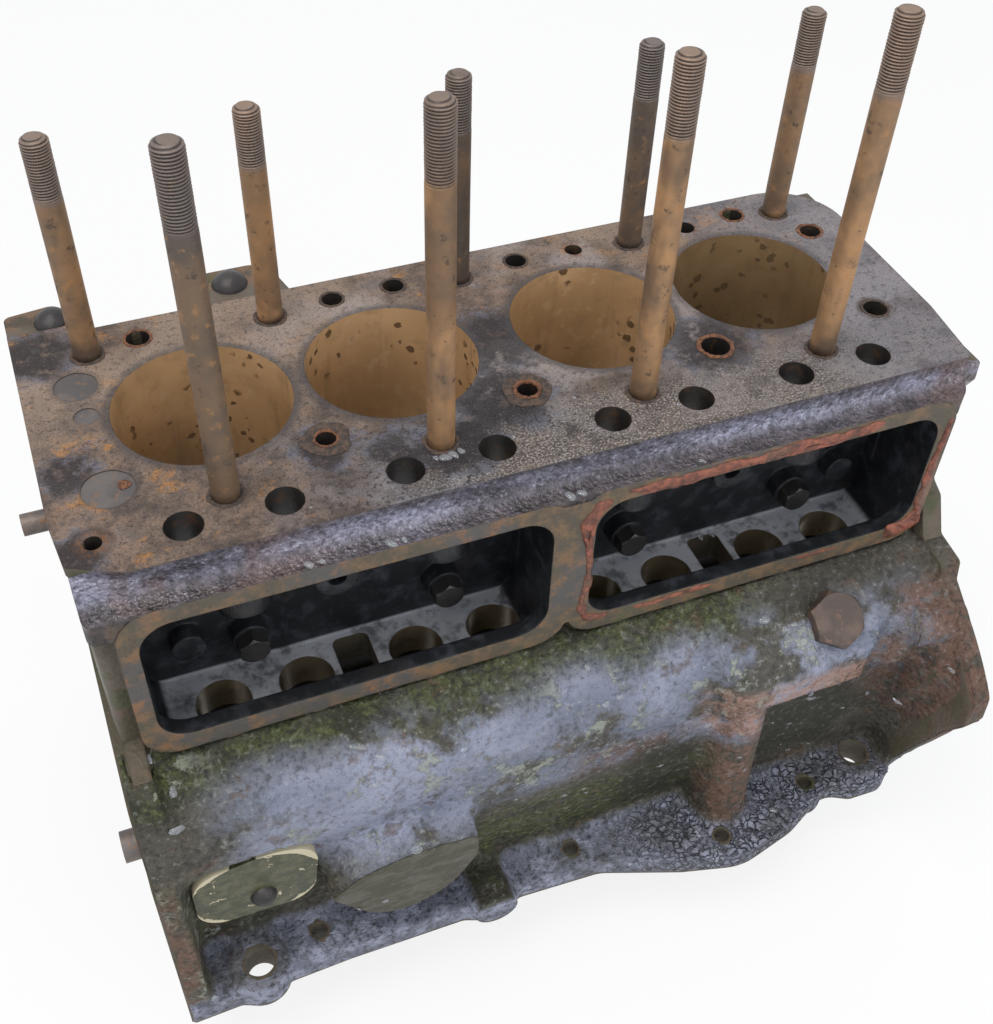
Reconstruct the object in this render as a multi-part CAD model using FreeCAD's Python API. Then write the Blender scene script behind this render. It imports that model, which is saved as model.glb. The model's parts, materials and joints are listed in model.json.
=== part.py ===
"""Bare four-cylinder engine block with its head studs, plugs and bearing caps.

Frame: millimetres, origin at the centre of the deck face midway between
cylinders 2 and 3, +X toward the flywheel end, +Z up, camshaft side at -Y.
"""
import FreeCAD, Part
import math
import os

V = FreeCAD.Vector
AX, AY, AZ = V(1, 0, 0), V(0, 1, 0), V(0, 0, 1)

# ---- driving dimensions ---------------------------------------------------
BORE_D = 62.94                     # cylinder bore
BORE_XS = (-109.05, -39.97, 39.97, 109.05)
BORE_DEPTH = 152.0                 # deck to the bottom of the barrels
DECK_TO_CRANK = 222.25             # deck to crank centre and sump face
FRONT, REAR = -167.6, 168.0        # machined end faces
END_PLATE_T = 9.0                  # thickness of the end flanges
DECK_FRONT_Y, DECK_BACK_Y = -69.8, 55.0
EAR_Y = 74.3                       # lug behind the front corner of the deck
DECK_LIP = 4.0                     # upright edge of the deck

CAM_Y, CAM_Z = -62.0, -124.5       # camshaft axis
CAM_BULGE_R = 38.0                 # outside of the cam tunnel
CAM_WALL = 12.0                    # tunnel wall thickness
CAM_BORES = (40.5, 40.0, 37.0)     # housings at front, centre and rear webs
BUSH_WALL = 1.6

MAIN_BORE_D = 49.2                 # main bearing housings
WEB_CENTRE_T = 22.0
WEB_END_T = 21.0
CAP_W, CAP_H, CAP_SEAT = 104.0, 40.0, 17.0
CAP_SIDE_PLAY = 0.15               # between a cap and the sides of its seat
CAP_BOLT_D, CAP_BOLT_Y, CAP_SCREW_AF = 9.525, 38.0, 15.9

TAPPET_D, TAPPET_Y = 20.64, -60.0
TAPPET_XS = (22.0, 53.1, 95.6, 126.6)
PUSHROD_D, PUSHROD_Y = 13.0, -56.15
PUSHROD_XS = (-127.7, -94.9, -53.9, -21.2, 22.0, 54.7, 95.7, 128.5)
LEDGE_Z = -89.0                    # floor of the tappet chests
TAPPET_BOSS_Z = -104.0             # lower end of the tappet guides

CHEST_FACE_Y = -78.4               # cover joint face
CHEST_BACK_Y = -43.5
CHEST_WALL = 6.4
CHEST_X = (8.0, 150.6)             # opening, mirrored left and right
CHEST_Z = (-76.3, -17.6)
RIM_X = (0.0, 157.0)
RIM_Z = (-84.5, -10.7)

STUD_D = 9.525                     # 3/8 in studs
STUD_SEAT_D = 11.11                # stepped end, 7/16 in, screwed into the deck
STUD_FIT = 0.03                    # radial play of the stud in its hole
STUD_SEAT = 24.0                   # depth of a stud in the deck
STUD_TIP = 1.5
FRONT_STUD_Y, BACK_STUD_Y = -46.85, 39.87
FRONT_STUD_XS = (-111.97, -38.06, 38.06, 111.97)
BACK_STUD_XS = (-141.89, -74.46, 0.0, 74.46, 141.89)
FRONT_STUD_HS = (126.5, 125.8, 127.0, 129.3)          # each above the deck
BACK_STUD_HS = (86.6, 85.6, 85.2, 85.2, 87.4)

FLANGE_T = 12.0                    # sump flange
CRANK_Z = -DECK_TO_CRANK
CAP_REGISTER = 0.5                 # cap seats lie this far inside the sump face
SUMP_Z = CRANK_Z - CAP_REGISTER
FLANGE_TOP = SUMP_Z + FLANGE_T
WALL_FOOT_Y = -87.0                # foot of the camshaft side wall
BACK_WALL_Y = 84.0                 # plug side crankcase wall
BACK_FLANGE_Y = 106.0
INNER_Y = (-74.0, 75.0)            # inside of the crankcase
ROOF_Z = -146.0

CORE_PLUG_D = 41.3
CORE_PLUG_XS = (-109.05, 0.0, 109.05)
CORE_PLUG_Z = -58.0

CAP_XS = (FRONT + WEB_END_T / 2, 0.0, REAR - WEB_END_T / 2)
CHEST_PLUG_D, CHEST_PLUG_AF = 8.0, 10.6
CHEST_PLUG_Z = -70.5
GALLERY_PLUG_D, GALLERY_PLUG_AF = 16.0, 21.0
GALLERY_PLUG_AT = V(109.8, -96.1, -100.6)
GALLERY_PLUG_AXIS = V(0, -0.63, 0.776).normalize()
PUMP_AT = (20.0, -54.0)            # (y, z) of the water inlet on the timing face
PUMP_D, PUMP_BOLT_D = 36.0, 7.94
PUMP_BOLTS = ((-6.0, -31.0), (46.0, -31.0), (-6.0, -77.0), (46.0, -77.0))
DOWEL_D, DOWEL_AT = 11.5, (-88.0, -117.0)


# ---- helpers --------------------------------------------------------------
def corner_path(points, place):
    """Closed wire through (u, v, radius) corners, placed by place(u, v)."""
    n, starts, ends, mids = len(points), [], [], []
    for i, (u, v, r) in enumerate(points):
        p = V(u, v, 0)
        a, b = points[i - 1], points[(i + 1) % n]
        ua = (V(a[0], a[1], 0) - p).normalize()
        ub = (V(b[0], b[1], 0) - p).normalize()
        half = ua.getAngle(ub) / 2.0
        if r <= 0 or half > math.pi / 2 - 1e-4:
            starts.append(p), ends.append(p), mids.append(None)
            continue
        reach = r / math.tan(half)
        bis = (ua + ub).normalize()
        centre = p + bis * (r / math.sin(half))
        starts.append(p + ua * reach)
        ends.append(p + ub * reach)
        mids.append(centre - bis * r)
    edges = []
    at = lambda q: place(q.x, q.y)
    for i in range(n):
        if mids[i]:
            edges.append(Part.Arc(at(starts[i]), at(mids[i]), at(ends[i])).toShape())
        p, q = at(ends[i]), at(starts[(i + 1) % n])
        if p.distanceToPoint(q) > 1e-6:
            edges.append(Part.makeLine(p, q))
    return Part.Wire(edges)


def prism_x(points, x0, x1):
    """(y, z, radius) outline swept from x0 to x1."""
    wire = corner_path(points, lambda u, v: V(x0, u, v))
    return Part.Face(wire).extrude(V(x1 - x0, 0, 0))


def prism_y(points, y0, y1, shift=V(0, 0, 0)):
    """(x, z, radius) outline swept from y0 to y1, with an optional slant."""
    wire = corner_path(points, lambda u, v: V(u, y0, v))
    return Part.Face(wire).extrude(V(0, y1 - y0, 0) + shift)


def prism_z(points, z0, z1):
    """(x, y, radius) outline swept from z0 to z1."""
    wire = corner_path(points, lambda u, v: V(u, v, z0))
    return Part.Face(wire).extrude(V(0, 0, z1 - z0))


def rect(u0, u1, v0, v1, r=0.0):
    return [(u0, v0, r), (u1, v0, r), (u1, v1, r), (u0, v1, r)]


def box(x0, x1, y0, y1, z0, z1):
    return Part.makeBox(x1 - x0, y1 - y0, z1 - z0, V(x0, y0, z0))


def rod(d, length, at, along):
    """Cylinder of diameter d that starts at `at` and runs along `along`."""
    return Part.makeCylinder(d / 2.0, length, at, along)


def hexagon(across, height, at, along):
    """Hexagonal prism whose flats are `across` apart."""
    side = V(0, 0, 1).cross(along)
    side = side.normalize() if side.Length > 1e-6 else V(1, 0, 0)
    other = along.cross(side)
    r = across / math.sqrt(3.0)
    ring = [at + side * (r * math.cos(math.radians(60 * k + 30)))
            + other * (r * math.sin(math.radians(60 * k + 30))) for k in range(6)]
    return Part.Face(Part.makePolygon(ring + ring[:1])).extrude(along * height)


def hex_head(across, height, at, along):
    """Hexagon with the turned chamfer of a bolt head on its outer end."""
    r = across / math.sqrt(3.0)
    turned = Part.makeCone(r + height * 0.9, r * 0.86, height * 1.0, at, along)
    return hexagon(across, height, at, along).common(turned)


def fuse(shapes):
    first = shapes[0]
    return first.multiFuse(shapes[1:]) if len(shapes) > 1 else first


def overlap(a, b):
    """The one solid that two shapes share."""
    return a.common(b).Solids[0]


def mirrored(points):
    """Outline mirrored from +X to -X."""
    return [(-u, v, r) for u, v, r in reversed(points)]


def both_sides(values):
    return sorted([-v for v in values]) + sorted(values)


# ---- main casting: outside -------------------------------------------------
DECK_OUTLINE = [
    (FRONT, -40.0, 4), (FRONT + 2.1, -61.5, 2), (-157.0, -65.5, 5), (-148.0, DECK_FRONT_Y, 8),
    (163.0, DECK_FRONT_Y, 3), (REAR - 1.2, -38.0, 12), (REAR, DECK_BACK_Y, 27),
    (-143.0, DECK_BACK_Y, 4), (-147.0, 77.0, 5), (FRONT, EAR_Y, 3)]

SUMP_OUTLINE = [
    (FRONT, -110.0, 2), (-147.0, -109.5, 6), (-138.0, -113.5, 7), (-126.0, -107.0, 7),
    (-100.0, -106.3, 30), (-50.0, -107.0, 8), (-37.0, -112.0, 6), (-24.0, -105.6, 8),
    (14.0, -107.5, 20), (48.0, -120.0, 22), (75.0, -127.0, 30), (104.0, -120.0, 30),
    (128.0, -108.5, 12), (139.0, -114.5, 7), (155.0, -115.0, 7), (REAR, -103.0, 4),
    (REAR, BACK_FLANGE_Y, 6), (120.0, BACK_FLANGE_Y, 20), (60.0, 96.0, 30),
    (-60.0, 96.0, 30), (-120.0, BACK_FLANGE_Y, 20), (FRONT, BACK_FLANGE_Y, 6)]

FRONT_END = [                      # (y, z) outline of the timing end flange
    (-110.0, SUMP_Z, 2), (-101.5, -129.0, 5), (-96.5, -126.0, 4), (-92.0, -92.0, 5),
    (-70.0, -88.0, 6), (10.0, -80.0, 16), (12.0, -4.0, 2), (DECK_BACK_Y, -4.0, 2),
    (DECK_BACK_Y, -92.0, 14), (94.0, -128.0, 14), (BACK_FLANGE_Y, SUMP_Z, 4)]

REAR_END = [                       # (y, z) outline of the flywheel end flange
    (-105.0, SUMP_Z, 3), (-114.0, -195.0, 30), (-129.0, -158.7, 12), (-138.0, -142.0, 7),
    (-137.2, -130.5, 6), (-117.0, -109.5, 6), (-98.6, -96.0, 2), (-96.8, -86.8, 2),
    (-82.5, -84.4, 2), (-75.0, -69.0, 3), (-68.3, -65.5, 3), (-67.8, -37.0, 2),
    (-64.3, -31.0, 3), (-65.5, -21.0, 3), (-70.3, -12.0, 3),
    (-69.8, -4.0, 1), (DECK_BACK_Y, -4.0, 2),
    (DECK_BACK_Y, -84.0, 14), (118.0, -118.0, 10), (128.0, -152.0, 12),
    (BACK_FLANGE_Y, SUMP_Z, 4)]

OPENING_Z0, OPENING_Z1 = CHEST_Z
LUG_DROP = 2.0                     # lifting lugs lie this far below the deck
LUG_SCREW_AT = ((-150.5, 66.5), (-83.5, 68.0))
LUG_SCREW_D, LUG_HEAD_D, LUG_HEAD_H = 8.0, 14.0, 5.0


def upper_body():
    """Deck, water-jacket walls, cove under the deck and the chest rims."""
    deck = prism_z(DECK_OUTLINE, -DECK_LIP, 0.0)
    body = prism_z([(FRONT + 2.6, -58.0, 3), (FRONT + 4, -70.0, 3), (REAR - 7, -70.0, 3),
                    (REAR - 7, -60.0, 2), (REAR - 2, -56.0, 3), (REAR - 2, DECK_BACK_Y - 3.5, 26),
                    (FRONT + 2.6, DECK_BACK_Y - 3.5, 3)], LEDGE_Z - 8, -DECK_LIP)
    cove = prism_x([(-40.0, -DECK_LIP, 0), (DECK_FRONT_Y, -DECK_LIP, 0),
                    (-71.0, -9.5, 5), (CHEST_FACE_Y + 0.4, RIM_Z[1] - 0.3, 0.6),
                    (CHEST_FACE_Y + 0.4, -20.0, 0), (-40.0, -20.0, 0)], FRONT + 2, REAR - 7)
    corner_cut = prism_z([(FRONT + 2.4, -56.0, 0), (FRONT + 3.0, -79.0, 5), (REAR - 8.0, -79.0, 8),
                          (REAR - 4.0, -50.0, 0)], -30.0, 0.0)
    cove = overlap(cove, corner_cut)
    rim = rect(*RIM_X, *RIM_Z, 13)
    rims = [prism_y(r, CHEST_FACE_Y, -66.0) for r in (rim, mirrored(rim))]
    joint = prism_y(rect(-9.0, 9.0, -76.0, -13.5), CHEST_FACE_Y, -66.0)
    ears = [box(FRONT, -141.0, 50.0, EAR_Y - 1.0, -30.0, -DECK_LIP),
            prism_z([(-104.0, 50.0, 0), (-61.0, 50.0, 0), (-67.0, 78.0, 10), (-97.0, 78.0, 10)],
                    -26.0, -LUG_DROP),
            box(-142.0, -98.0, 50.0, 59.0, -20.0, -5.0)]
    return [deck, body, cove, joint] + rims + ears


def cam_bulge():
    """Camshaft tunnel standing out under the chests, wavy over each tappet."""
    axis = V(FRONT + 4, CAM_Y, CAM_Z)
    parts = [rod(2 * CAM_BULGE_R, REAR - FRONT - 8, axis, AX)]
    for x in both_sides(TAPPET_XS):
        parts.append(Part.makeCone(14.0, 24.0, 32.0, V(x, TAPPET_Y - 2.5, RIM_Z[0] - 1.5),
                                   V(0, -0.2, -1)))
    return parts


def side_wall():
    """Camshaft side of the crankcase with its ribs, pads and bosses."""
    out_y, foot = CAM_Y - CAM_BULGE_R, WALL_FOOT_Y
    middle = [(-40.0, CAM_Z, 0), (out_y, CAM_Z, 0), (out_y + 1.5, -150.0, 30),
              (foot, FLANGE_TOP - 1, 0), (-40.0, FLANGE_TOP - 1, 0)]
    left = [(-40.0, CAM_Z, 0), (-97.0, CAM_Z - 10, 12), (-86.0, -160.0, 12),
            (foot + 4, FLANGE_TOP - 1, 0), (-40.0, FLANGE_TOP - 1, 0)]
    shelf = [(-60.0, LEDGE_Z + 6, 0), (-80.0, -87.5, 8), (SHELF_Y, -112.0, 8),
             (SHELF_Y, -129.5, 6), (-92.0, -137.0, 5), (-60.0, -137.0, 0)]
    plan = prism_z([(SHELF_X0, -60.0, 0), (SHELF_X0, SHELF_Y, 17), (SHELF_X1, SHELF_Y, 11),
                    (SHELF_X1 + 9.0, -60.0, 0)], -150.0, -80.0)
    shelf_body = overlap(prism_x(shelf, SHELF_X0 - 5, SHELF_X1 + 15), plan)
    rib = fuse([Part.makeCone(10.5, 12.5, 84.0, V(73.5, -97.0, -120.0), V(0.02, 0, -1)),
                box(64.0, 83.5, -97.0, -70.0, FLANGE_TOP, -122.0)])
    gusset = prism_x([(-60.0, -84.0, 0), (-80.0, -87.0, 6), (-93.0, -94.0, 8),
                      (-113.0, -111.0, 8), (-119.0, -134.0, 6),
                      (-88.0, -200.0, 8), (-60.0, -200.0, 0)], 154.0, REAR - 4)
    rear_boss = prism_x([(-60.0, -84.0, 0), (-77.0, -86.0, 8), (-98.0, -98.0, 14),
                         (-107.5, -113.0, 10), (-106.5, -131.0, 8), (-93.0, -140.0, 5),
                         (-60.0, -140.0, 0)], SHELF_X1, REAR - 4)
    rear_boss = overlap(rear_boss, prism_z(
        [(SHELF_X1 + 4, -60.0, 0), (SHELF_X1 + 11, -108.0, 12), (REAR - 6, -108.0, 0),
         (REAR - 4, -60.0, 0)], -142.0, -70.0))
    stub = rod(16.5, 20.0, V(144.5, -105.0, -109.0), V(1, -0.1, 0))
    return [prism_x(middle, -48.0, 66.0), prism_x(left, FRONT + 4, -40.0),
            prism_x([(-40.0, -124.0, 0), (out_y + 0.4, -124.0, 0), (-95.5, -136.0, 14),
                     (foot - 3, FLANGE_TOP - 1, 0), (-40.0, FLANGE_TOP - 1, 0)], 60.0, REAR - 4),
            shelf_body, rib, gusset, rear_boss, stub]


SHELF_X0, SHELF_X1 = 56.0, 127.0   # ends of the gallery shelf
SHELF_Y = -109.0                   # its face
PAD_XZ = (-130.5, -151.0)          # centre of the pump pad
PAD_FACE_Y = -95.0
PAD_W, PAD_H = 50.0, 41.0
PAD_RELIEF = 0.7                   # room cut in the casting round the cover


def pad_outline(grow=0.0):
    """Stadium-like outline shared by the pump pad, its gasket and its cover."""
    w, h = PAD_W / 2 + grow, PAD_H / 2 + grow
    x, z = PAD_XZ
    r = 0.6 * h
    return [(x - w, z - h + 2, r), (x + 0.84 * w, z - h, r), (x + w, z + 0.7 * h, r),
            (x + 0.32 * w, z + h, 1.15 * h), (x - w, z + 0.8 * h, r)]


def side_pads():
    """Pump pad, the cut-off round boss and the small bosses of that side."""
    moon = [(-106.0, -160.0, 2), (-96.0, -152.0, 20), (-74.0, -145.5, 60), (-46.0, -149.0, 3),
            (-46.5, -163.0, 5), (-58.0, -180.0, 22), (-84.0, -190.0, 22)]
    boss = prism_y(moon, -111.0, -60.0, V(4.0, 0, 26.0))
    pad = prism_y(pad_outline(), PAD_FACE_Y, -70.0)
    corner = prism_x([(-70.0, -82.0, 0), (-92.0, -85.0, 8), (-97.0, -126.0, 6), (-70.0, -133.0, 0)],
                     FRONT + 4, PAD_XZ[0] - PAD_W / 2 - 1.5)
    knob = rod(19.0, 17.0, V(-37.0, -112.0, -213.0), AY)
    flange_pads = [rod(17.0, FLANGE_T + 1.2, V(x, y, SUMP_Z), AZ) for x, y in SUMP_SMALL]
    flange_pads += [rod(24.0, FLANGE_T + 2.5, V(x, y, SUMP_Z), AZ) for x, y in SUMP_LARGE]
    return [boss, pad, corner, knob] + flange_pads


SUMP_SMALL = [(-110.0, -96.0), (3.0, -98.0), (68.5, -116.0), (117.5, -105.5),
              (-140.0, 98.0), (-60.0, 89.0), (0.0, 89.0), (60.0, 89.0), (140.0, 98.0)]
SUMP_LARGE = [(-136.5, -101.0), (147.0, -99.5)]
SUMP_SMALL_D, SUMP_LARGE_D = 6.6, 12.4


def back_side():
    """Plug side of the casting, finished plainly."""
    wall = [(40.0, -84.0, 0), (DECK_BACK_Y - 3.5, -86.0, 20), (BACK_WALL_Y, -124.0, 22),
            (BACK_WALL_Y, FLANGE_TOP - 1, 0), (40.0, FLANGE_TOP - 1, 0)]
    bosses = [rod(CORE_PLUG_D + 12, 12.0, V(x, DECK_BACK_Y - 11, CORE_PLUG_Z), AY)
              for x in CORE_PLUG_XS]
    ribs = [box(x - 4, x + 4, 44.0, BACK_WALL_Y + 5, FLANGE_TOP - 4, -116.0)
            for x in (-75.0, 75.0)]
    filter_pad = rod(56.0, 22.0, V(108.0, BACK_WALL_Y - 10, -166.0), AY)
    distributor = rod(44.0, 46.0, V(22.0, 48.0, -128.0), V(0, 0.82, 0.57))
    mount = prism_y(rect(-158.0, -104.0, -196.0, -146.0, 8), BACK_WALL_Y - 6, BACK_WALL_Y + 10)
    return [prism_x(wall, FRONT + 4, REAR - 4), filter_pad, distributor, mount] + bosses + ribs


# ---- main casting: inside ---------------------------------------------------
BAYS = ((FRONT + WEB_END_T, -WEB_CENTRE_T / 2), (WEB_CENTRE_T / 2, REAR - WEB_END_T))
WEB_SPANS = ((FRONT, FRONT + WEB_END_T), (-WEB_CENTRE_T / 2, WEB_CENTRE_T / 2),
             (REAR - WEB_END_T, REAR))
PATCHES = {                        # blanked core holes in the deck: x, y, diameter
    "deck_plug_back": (-148.6, 23.2, 15.4),
    "deck_plug_middle": (-147.6, 6.4, 8.5),
    "deck_plug_front": (-146.9, -31.6, 17.7)}
PATCH_DEPTH = 6.0
WATER_HOLES = [                    # x, y, diameter
    (-123.2, 43.4, 8.8), (-49.8, 42.7, 8.0), (-25.1, 43.2, 8.3), (26.0, 43.0, 8.5),
    (50.9, 42.5, 7.0), (101.2, 41.9, 8.0), (124.4, 43.6, 8.3), (149.3, 22.4, 8.6),
    (-74.3, -32.4, 7.3), (-0.2, -32.0, 8.0), (75.3, -32.3, 11.0), (145.1, -32.3, 9.5),
    (-155.6, -53.9, 6.0)]
WATER_DEPTH = 16.0


def hollows():
    """Everything cut from the casting."""
    cuts = [rod(BORE_D, BORE_DEPTH, V(x, 0, -BORE_DEPTH), AZ) for x in BORE_XS]
    for x, y, d in WATER_HOLES:
        cuts.append(rod(d, WATER_DEPTH, V(x, y, -WATER_DEPTH), AZ))
    for x, y, d in PATCHES.values():
        cuts.append(rod(d, PATCH_DEPTH, V(x, y, -PATCH_DEPTH), AZ))
    opening = rect(*CHEST_X, *CHEST_Z, 12)
    inside = rect(CHEST_X[0] + 0.5, CHEST_X[1] - 0.5, LEDGE_Z, OPENING_Z1 + 2, 8)
    for side in (lambda p: p, mirrored):
        cuts.append(prism_y(side(opening), CHEST_FACE_Y - 5, CHEST_BACK_Y - 6))
        cuts.append(prism_y(side(inside), CHEST_FACE_Y + CHEST_WALL, CHEST_BACK_Y))
    bay = [(INNER_Y[0], SUMP_Z - 1, 0), (INNER_Y[0], ROOF_Z, 8), (-44.0, ROOF_Z + 8, 0),
           (-44.0, ROOF_Z, 0), (INNER_Y[1] - 26, ROOF_Z, 12), (INNER_Y[1], ROOF_Z - 26, 14),
           (INNER_Y[1], SUMP_Z - 1, 0)]
    for x0, x1 in BAYS:
        cuts.append(prism_x(bay, x0, x1))
        cuts.append(rod(2 * (CAM_BULGE_R - CAM_WALL), x1 - x0, V(x0, CAM_Y, CAM_Z), AX))
    for x0, x1 in WEB_SPANS:
        half = CAP_W / 2 + CAP_SIDE_PLAY
        cuts.append(box(x0, x1, -half, half, SUMP_Z - 1, CRANK_Z))
    cuts.append(rod(MAIN_BORE_D, REAR - FRONT + 20, V(FRONT - 10, 0, CRANK_Z), AX))
    return cuts


def kept_bosses():
    """Bosses that stand inside the chests and under the barrels."""
    keep = []
    for x in FRONT_STUD_XS:
        keep.append(rod(21.0, 36.0, V(x, FRONT_STUD_Y, -50.0), AZ))
        keep.append(rod(14.0, 9.0, V(x, CHEST_BACK_Y + 2, CHEST_PLUG_Z), -AY))
    for x in (-79.3, 79.3):
        keep.append(rod(16.0, 12.0, V(x, CHEST_BACK_Y + 2, -47.0), -AY))
    for x in (-134.0, 134.0):
        keep.append(rod(12.0, 9.0, V(x, CHEST_BACK_Y + 2, -66.0), -AY))
    for x in both_sides(TAPPET_XS):
        keep.append(rod(TAPPET_D + 8, LEDGE_Z - TAPPET_BOSS_Z, V(x, TAPPET_Y, TAPPET_BOSS_Z), AZ))
    return keep


def drillings():
    """Holes made after the inside bosses are in place."""
    cuts = [rod(d, x1 - x0 + 2, V(x0 - 1, CAM_Y, CAM_Z), AX)
            for d, (x0, x1) in zip(CAM_BORES, WEB_SPANS)]
    for x in both_sides(TAPPET_XS):
        cuts.append(rod(TAPPET_D, 40.0, V(x, TAPPET_Y, TAPPET_BOSS_Z - 10), AZ))
    for x in PUSHROD_XS:
        cuts.append(rod(PUSHROD_D, 30.0, V(x, PUSHROD_Y, -29.0), AZ))
    for x in (-75.5, 75.5):
        cuts.append(prism_z(rect(x - 7, x + 7, -68.0, -46.0, 3), LEDGE_Z - 20, LEDGE_Z + 1))
    hole_d = STUD_SEAT_D + 2 * STUD_FIT
    for xs, y in ((FRONT_STUD_XS, FRONT_STUD_Y), (BACK_STUD_XS, BACK_STUD_Y)):
        cuts += [rod(hole_d, STUD_SEAT, V(x, y, -STUD_SEAT), AZ) for x in xs]
    for x in FRONT_STUD_XS:
        cuts.append(rod(CHEST_PLUG_D + 0.06, 14.0, V(x, CHEST_BACK_Y - 7.0, CHEST_PLUG_Z), AY))
    for x in (-79.3, 79.3):
        cuts.append(rod(6.6, 16.0, V(x, CHEST_BACK_Y - 11, -47.0), AY))
    for x, y in SUMP_SMALL:
        cuts.append(rod(SUMP_SMALL_D, 30.0, V(x, y, SUMP_Z - 2), AZ))
    for x, y in SUMP_LARGE:
        cuts.append(rod(SUMP_LARGE_D, 30.0, V(x, y, SUMP_Z - 2), AZ))
    for x in CORE_PLUG_XS:
        cuts.append(rod(CORE_PLUG_D, 9.0, V(x, DECK_BACK_Y + 2, CORE_PLUG_Z), -AY))
    for x in CAP_XS:
        for y in (-CAP_BOLT_Y, CAP_BOLT_Y):
            cuts.append(rod(CAP_BOLT_D + 0.06, 34.0, V(x, y, CRANK_Z), AZ))
    return cuts


def end_drillings():
    """Water inlet, dowel and bolt holes of the two end faces, and side holes."""
    cuts = [rod(PUMP_D, 14.0, V(FRONT - 1, PUMP_AT[0], PUMP_AT[1]), AX)]
    for y, z in PUMP_BOLTS:
        cuts.append(rod(PUMP_BOLT_D, 18.0, V(FRONT, y, z), AX))
    cuts.append(rod(DOWEL_D + 0.06, 12.0, V(FRONT, *DOWEL_AT), AX))
    for y, z in ((-92.0, -206.0), (-70.0, -192.0), (70.0, -196.0), (92.0, -150.0), (44.0, -104.0)):
        cuts.append(rod(6.6, 16.0, V(FRONT, y, z), AX))
    for y, z in ((-125.5, -143.0), (-60.0, -12.0), (116.0, -136.0), (40.0, -14.0),
                 (-80.5, -200.0), (92.0, -205.0)):
        cuts.append(rod(8.5, END_PLATE_T - 1.5, V(REAR, y, z), -AX))
    for x, y in LUG_SCREW_AT:
        cuts.append(rod(LUG_SCREW_D + 0.06, 16.0, V(x, y, -16.0), AZ))
    cuts.append(prism_z([(FRONT - 3, 59.5, 0), (-145.0, 59.5, 4), (-143.0, EAR_Y + 8, 0),
                         (FRONT - 3, EAR_Y + 8, 0)], -LUG_DROP, 5.0))
    x, z = PAD_XZ
    cuts.append(rod(PUMP_SCREW_D + 0.06, 14.0, V(x + 1, PAD_FACE_Y, z - 8.0), AY))
    cuts.append(rod(24.0, 26.0, V(x, PAD_FACE_Y - 1, z + 3.0), AY))
    cuts.append(prism_y(pad_outline(PAD_RELIEF), PAD_FACE_Y - 20.0, PAD_FACE_Y))
    out = GALLERY_PLUG_AXIS
    cuts.append(rod(GALLERY_PLUG_D + 0.06, 16.0, GALLERY_PLUG_AT - out * 16.0, out))
    cuts.append(rod(GALLERY_PLUG_AF * 1.26, 12.0, GALLERY_PLUG_AT, out))
    for x, z, d in ((-150.5, -89.0, 6.0), (-151.5, -109.0, 9.0)):
        cuts.append(rod(d, 13.0, V(x, -100.0, z), AY))
    cuts.append(rod(27.0, 40.0, V(22.0, 48.0, -128.0) + V(0, 0.82, 0.57) * 14, V(0, 0.82, 0.57)))
    cuts.append(rod(22.0, 16.0, V(108.0, BACK_WALL_Y + 13, -166.0), -AY))
    for dx, dz in ((-18, -14), (18, 14)):
        cuts.append(rod(8.0, 12.0, V(108.0 + dx, BACK_WALL_Y + 13, -166.0 + dz), -AY))
    for x in (-146.0, -116.0):
        cuts.append(rod(8.5, 16.0, V(x, BACK_WALL_Y + 11, -171.0), -AY))
    return cuts


PUMP_SCREW_D = 6.35
CUT_BEYOND = 60.0                  # reach of the trimming blocks


def cylinder_block():
    flange = prism_z(SUMP_OUTLINE, SUMP_Z, FLANGE_TOP)
    ends = [prism_x(FRONT_END, FRONT, FRONT + END_PLATE_T),
            prism_x(REAR_END, REAR - END_PLATE_T, REAR)]
    solid = fuse(upper_body() + cam_bulge() + side_wall() + side_pads() + back_side()
                 + [flange] + ends)
    trim = [box(FRONT - CUT_BEYOND, FRONT, -200, 200, -300, 50),
            box(REAR, REAR + CUT_BEYOND, -200, 200, -300, 50),
            box(FRONT, REAR, -200, 200, 0, CUT_BEYOND),
            box(FRONT - 5, REAR + 5, -200, 200, SUMP_Z - CUT_BEYOND, SUMP_Z)]
    solid = solid.cut(trim + hollows())
    chest_room = fuse([prism_y(s(rect(CHEST_X[0], CHEST_X[1], LEDGE_Z - 30, -8.0)),
                               CHEST_FACE_Y + 1.5, CHEST_BACK_Y + 4)
                       for s in (lambda p: p, mirrored)])
    bosses = [b.common(chest_room) if b.BoundBox.ZMax > LEDGE_Z + 1 else b
              for b in kept_bosses()]
    solid = solid.multiFuse(bosses).cut(drillings() + end_drillings())
    return solid.removeSplitter()


# ---- loose-made pieces ------------------------------------------------------
def head_stud(x, y, height):
    """Stud with chamfered ends, standing in the deck."""
    shank = rod(STUD_D, height - STUD_TIP, V(x, y, 0), AZ)
    seat = rod(STUD_SEAT_D, STUD_SEAT - STUD_TIP, V(x, y, STUD_TIP - STUD_SEAT), AZ)
    r, s = STUD_D / 2, STUD_SEAT_D / 2
    tips = [Part.makeCone(s - STUD_TIP, s, STUD_TIP, V(x, y, -STUD_SEAT), AZ),
            Part.makeCone(r, r - STUD_TIP, STUD_TIP, V(x, y, height - STUD_TIP), AZ)]
    return shank.multiFuse([seat] + tips).removeSplitter()


def screw(d, length, across, head, at, along):
    """Hexagon screw; `at` is the seat of its head and `along` points outward."""
    return rod(d, length + 1.0, at - along * length, along).fuse(
        hex_head(across, head, at, along)).removeSplitter()


def domed(d, length, head_d, head_h, at, along):
    """Round-head screw; `at` is the seat of its head and `along` points outward."""
    r = head_d / 2.0
    ball_r = (r * r + head_h * head_h) / (2.0 * head_h)
    ball = Part.makeSphere(ball_r, at + along * (head_h - ball_r))
    head = ball.common(rod(head_d, head_h + 1.0, at, along))
    return rod(d, length + 0.5, at - along * length, along).fuse(head).removeSplitter()


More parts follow.
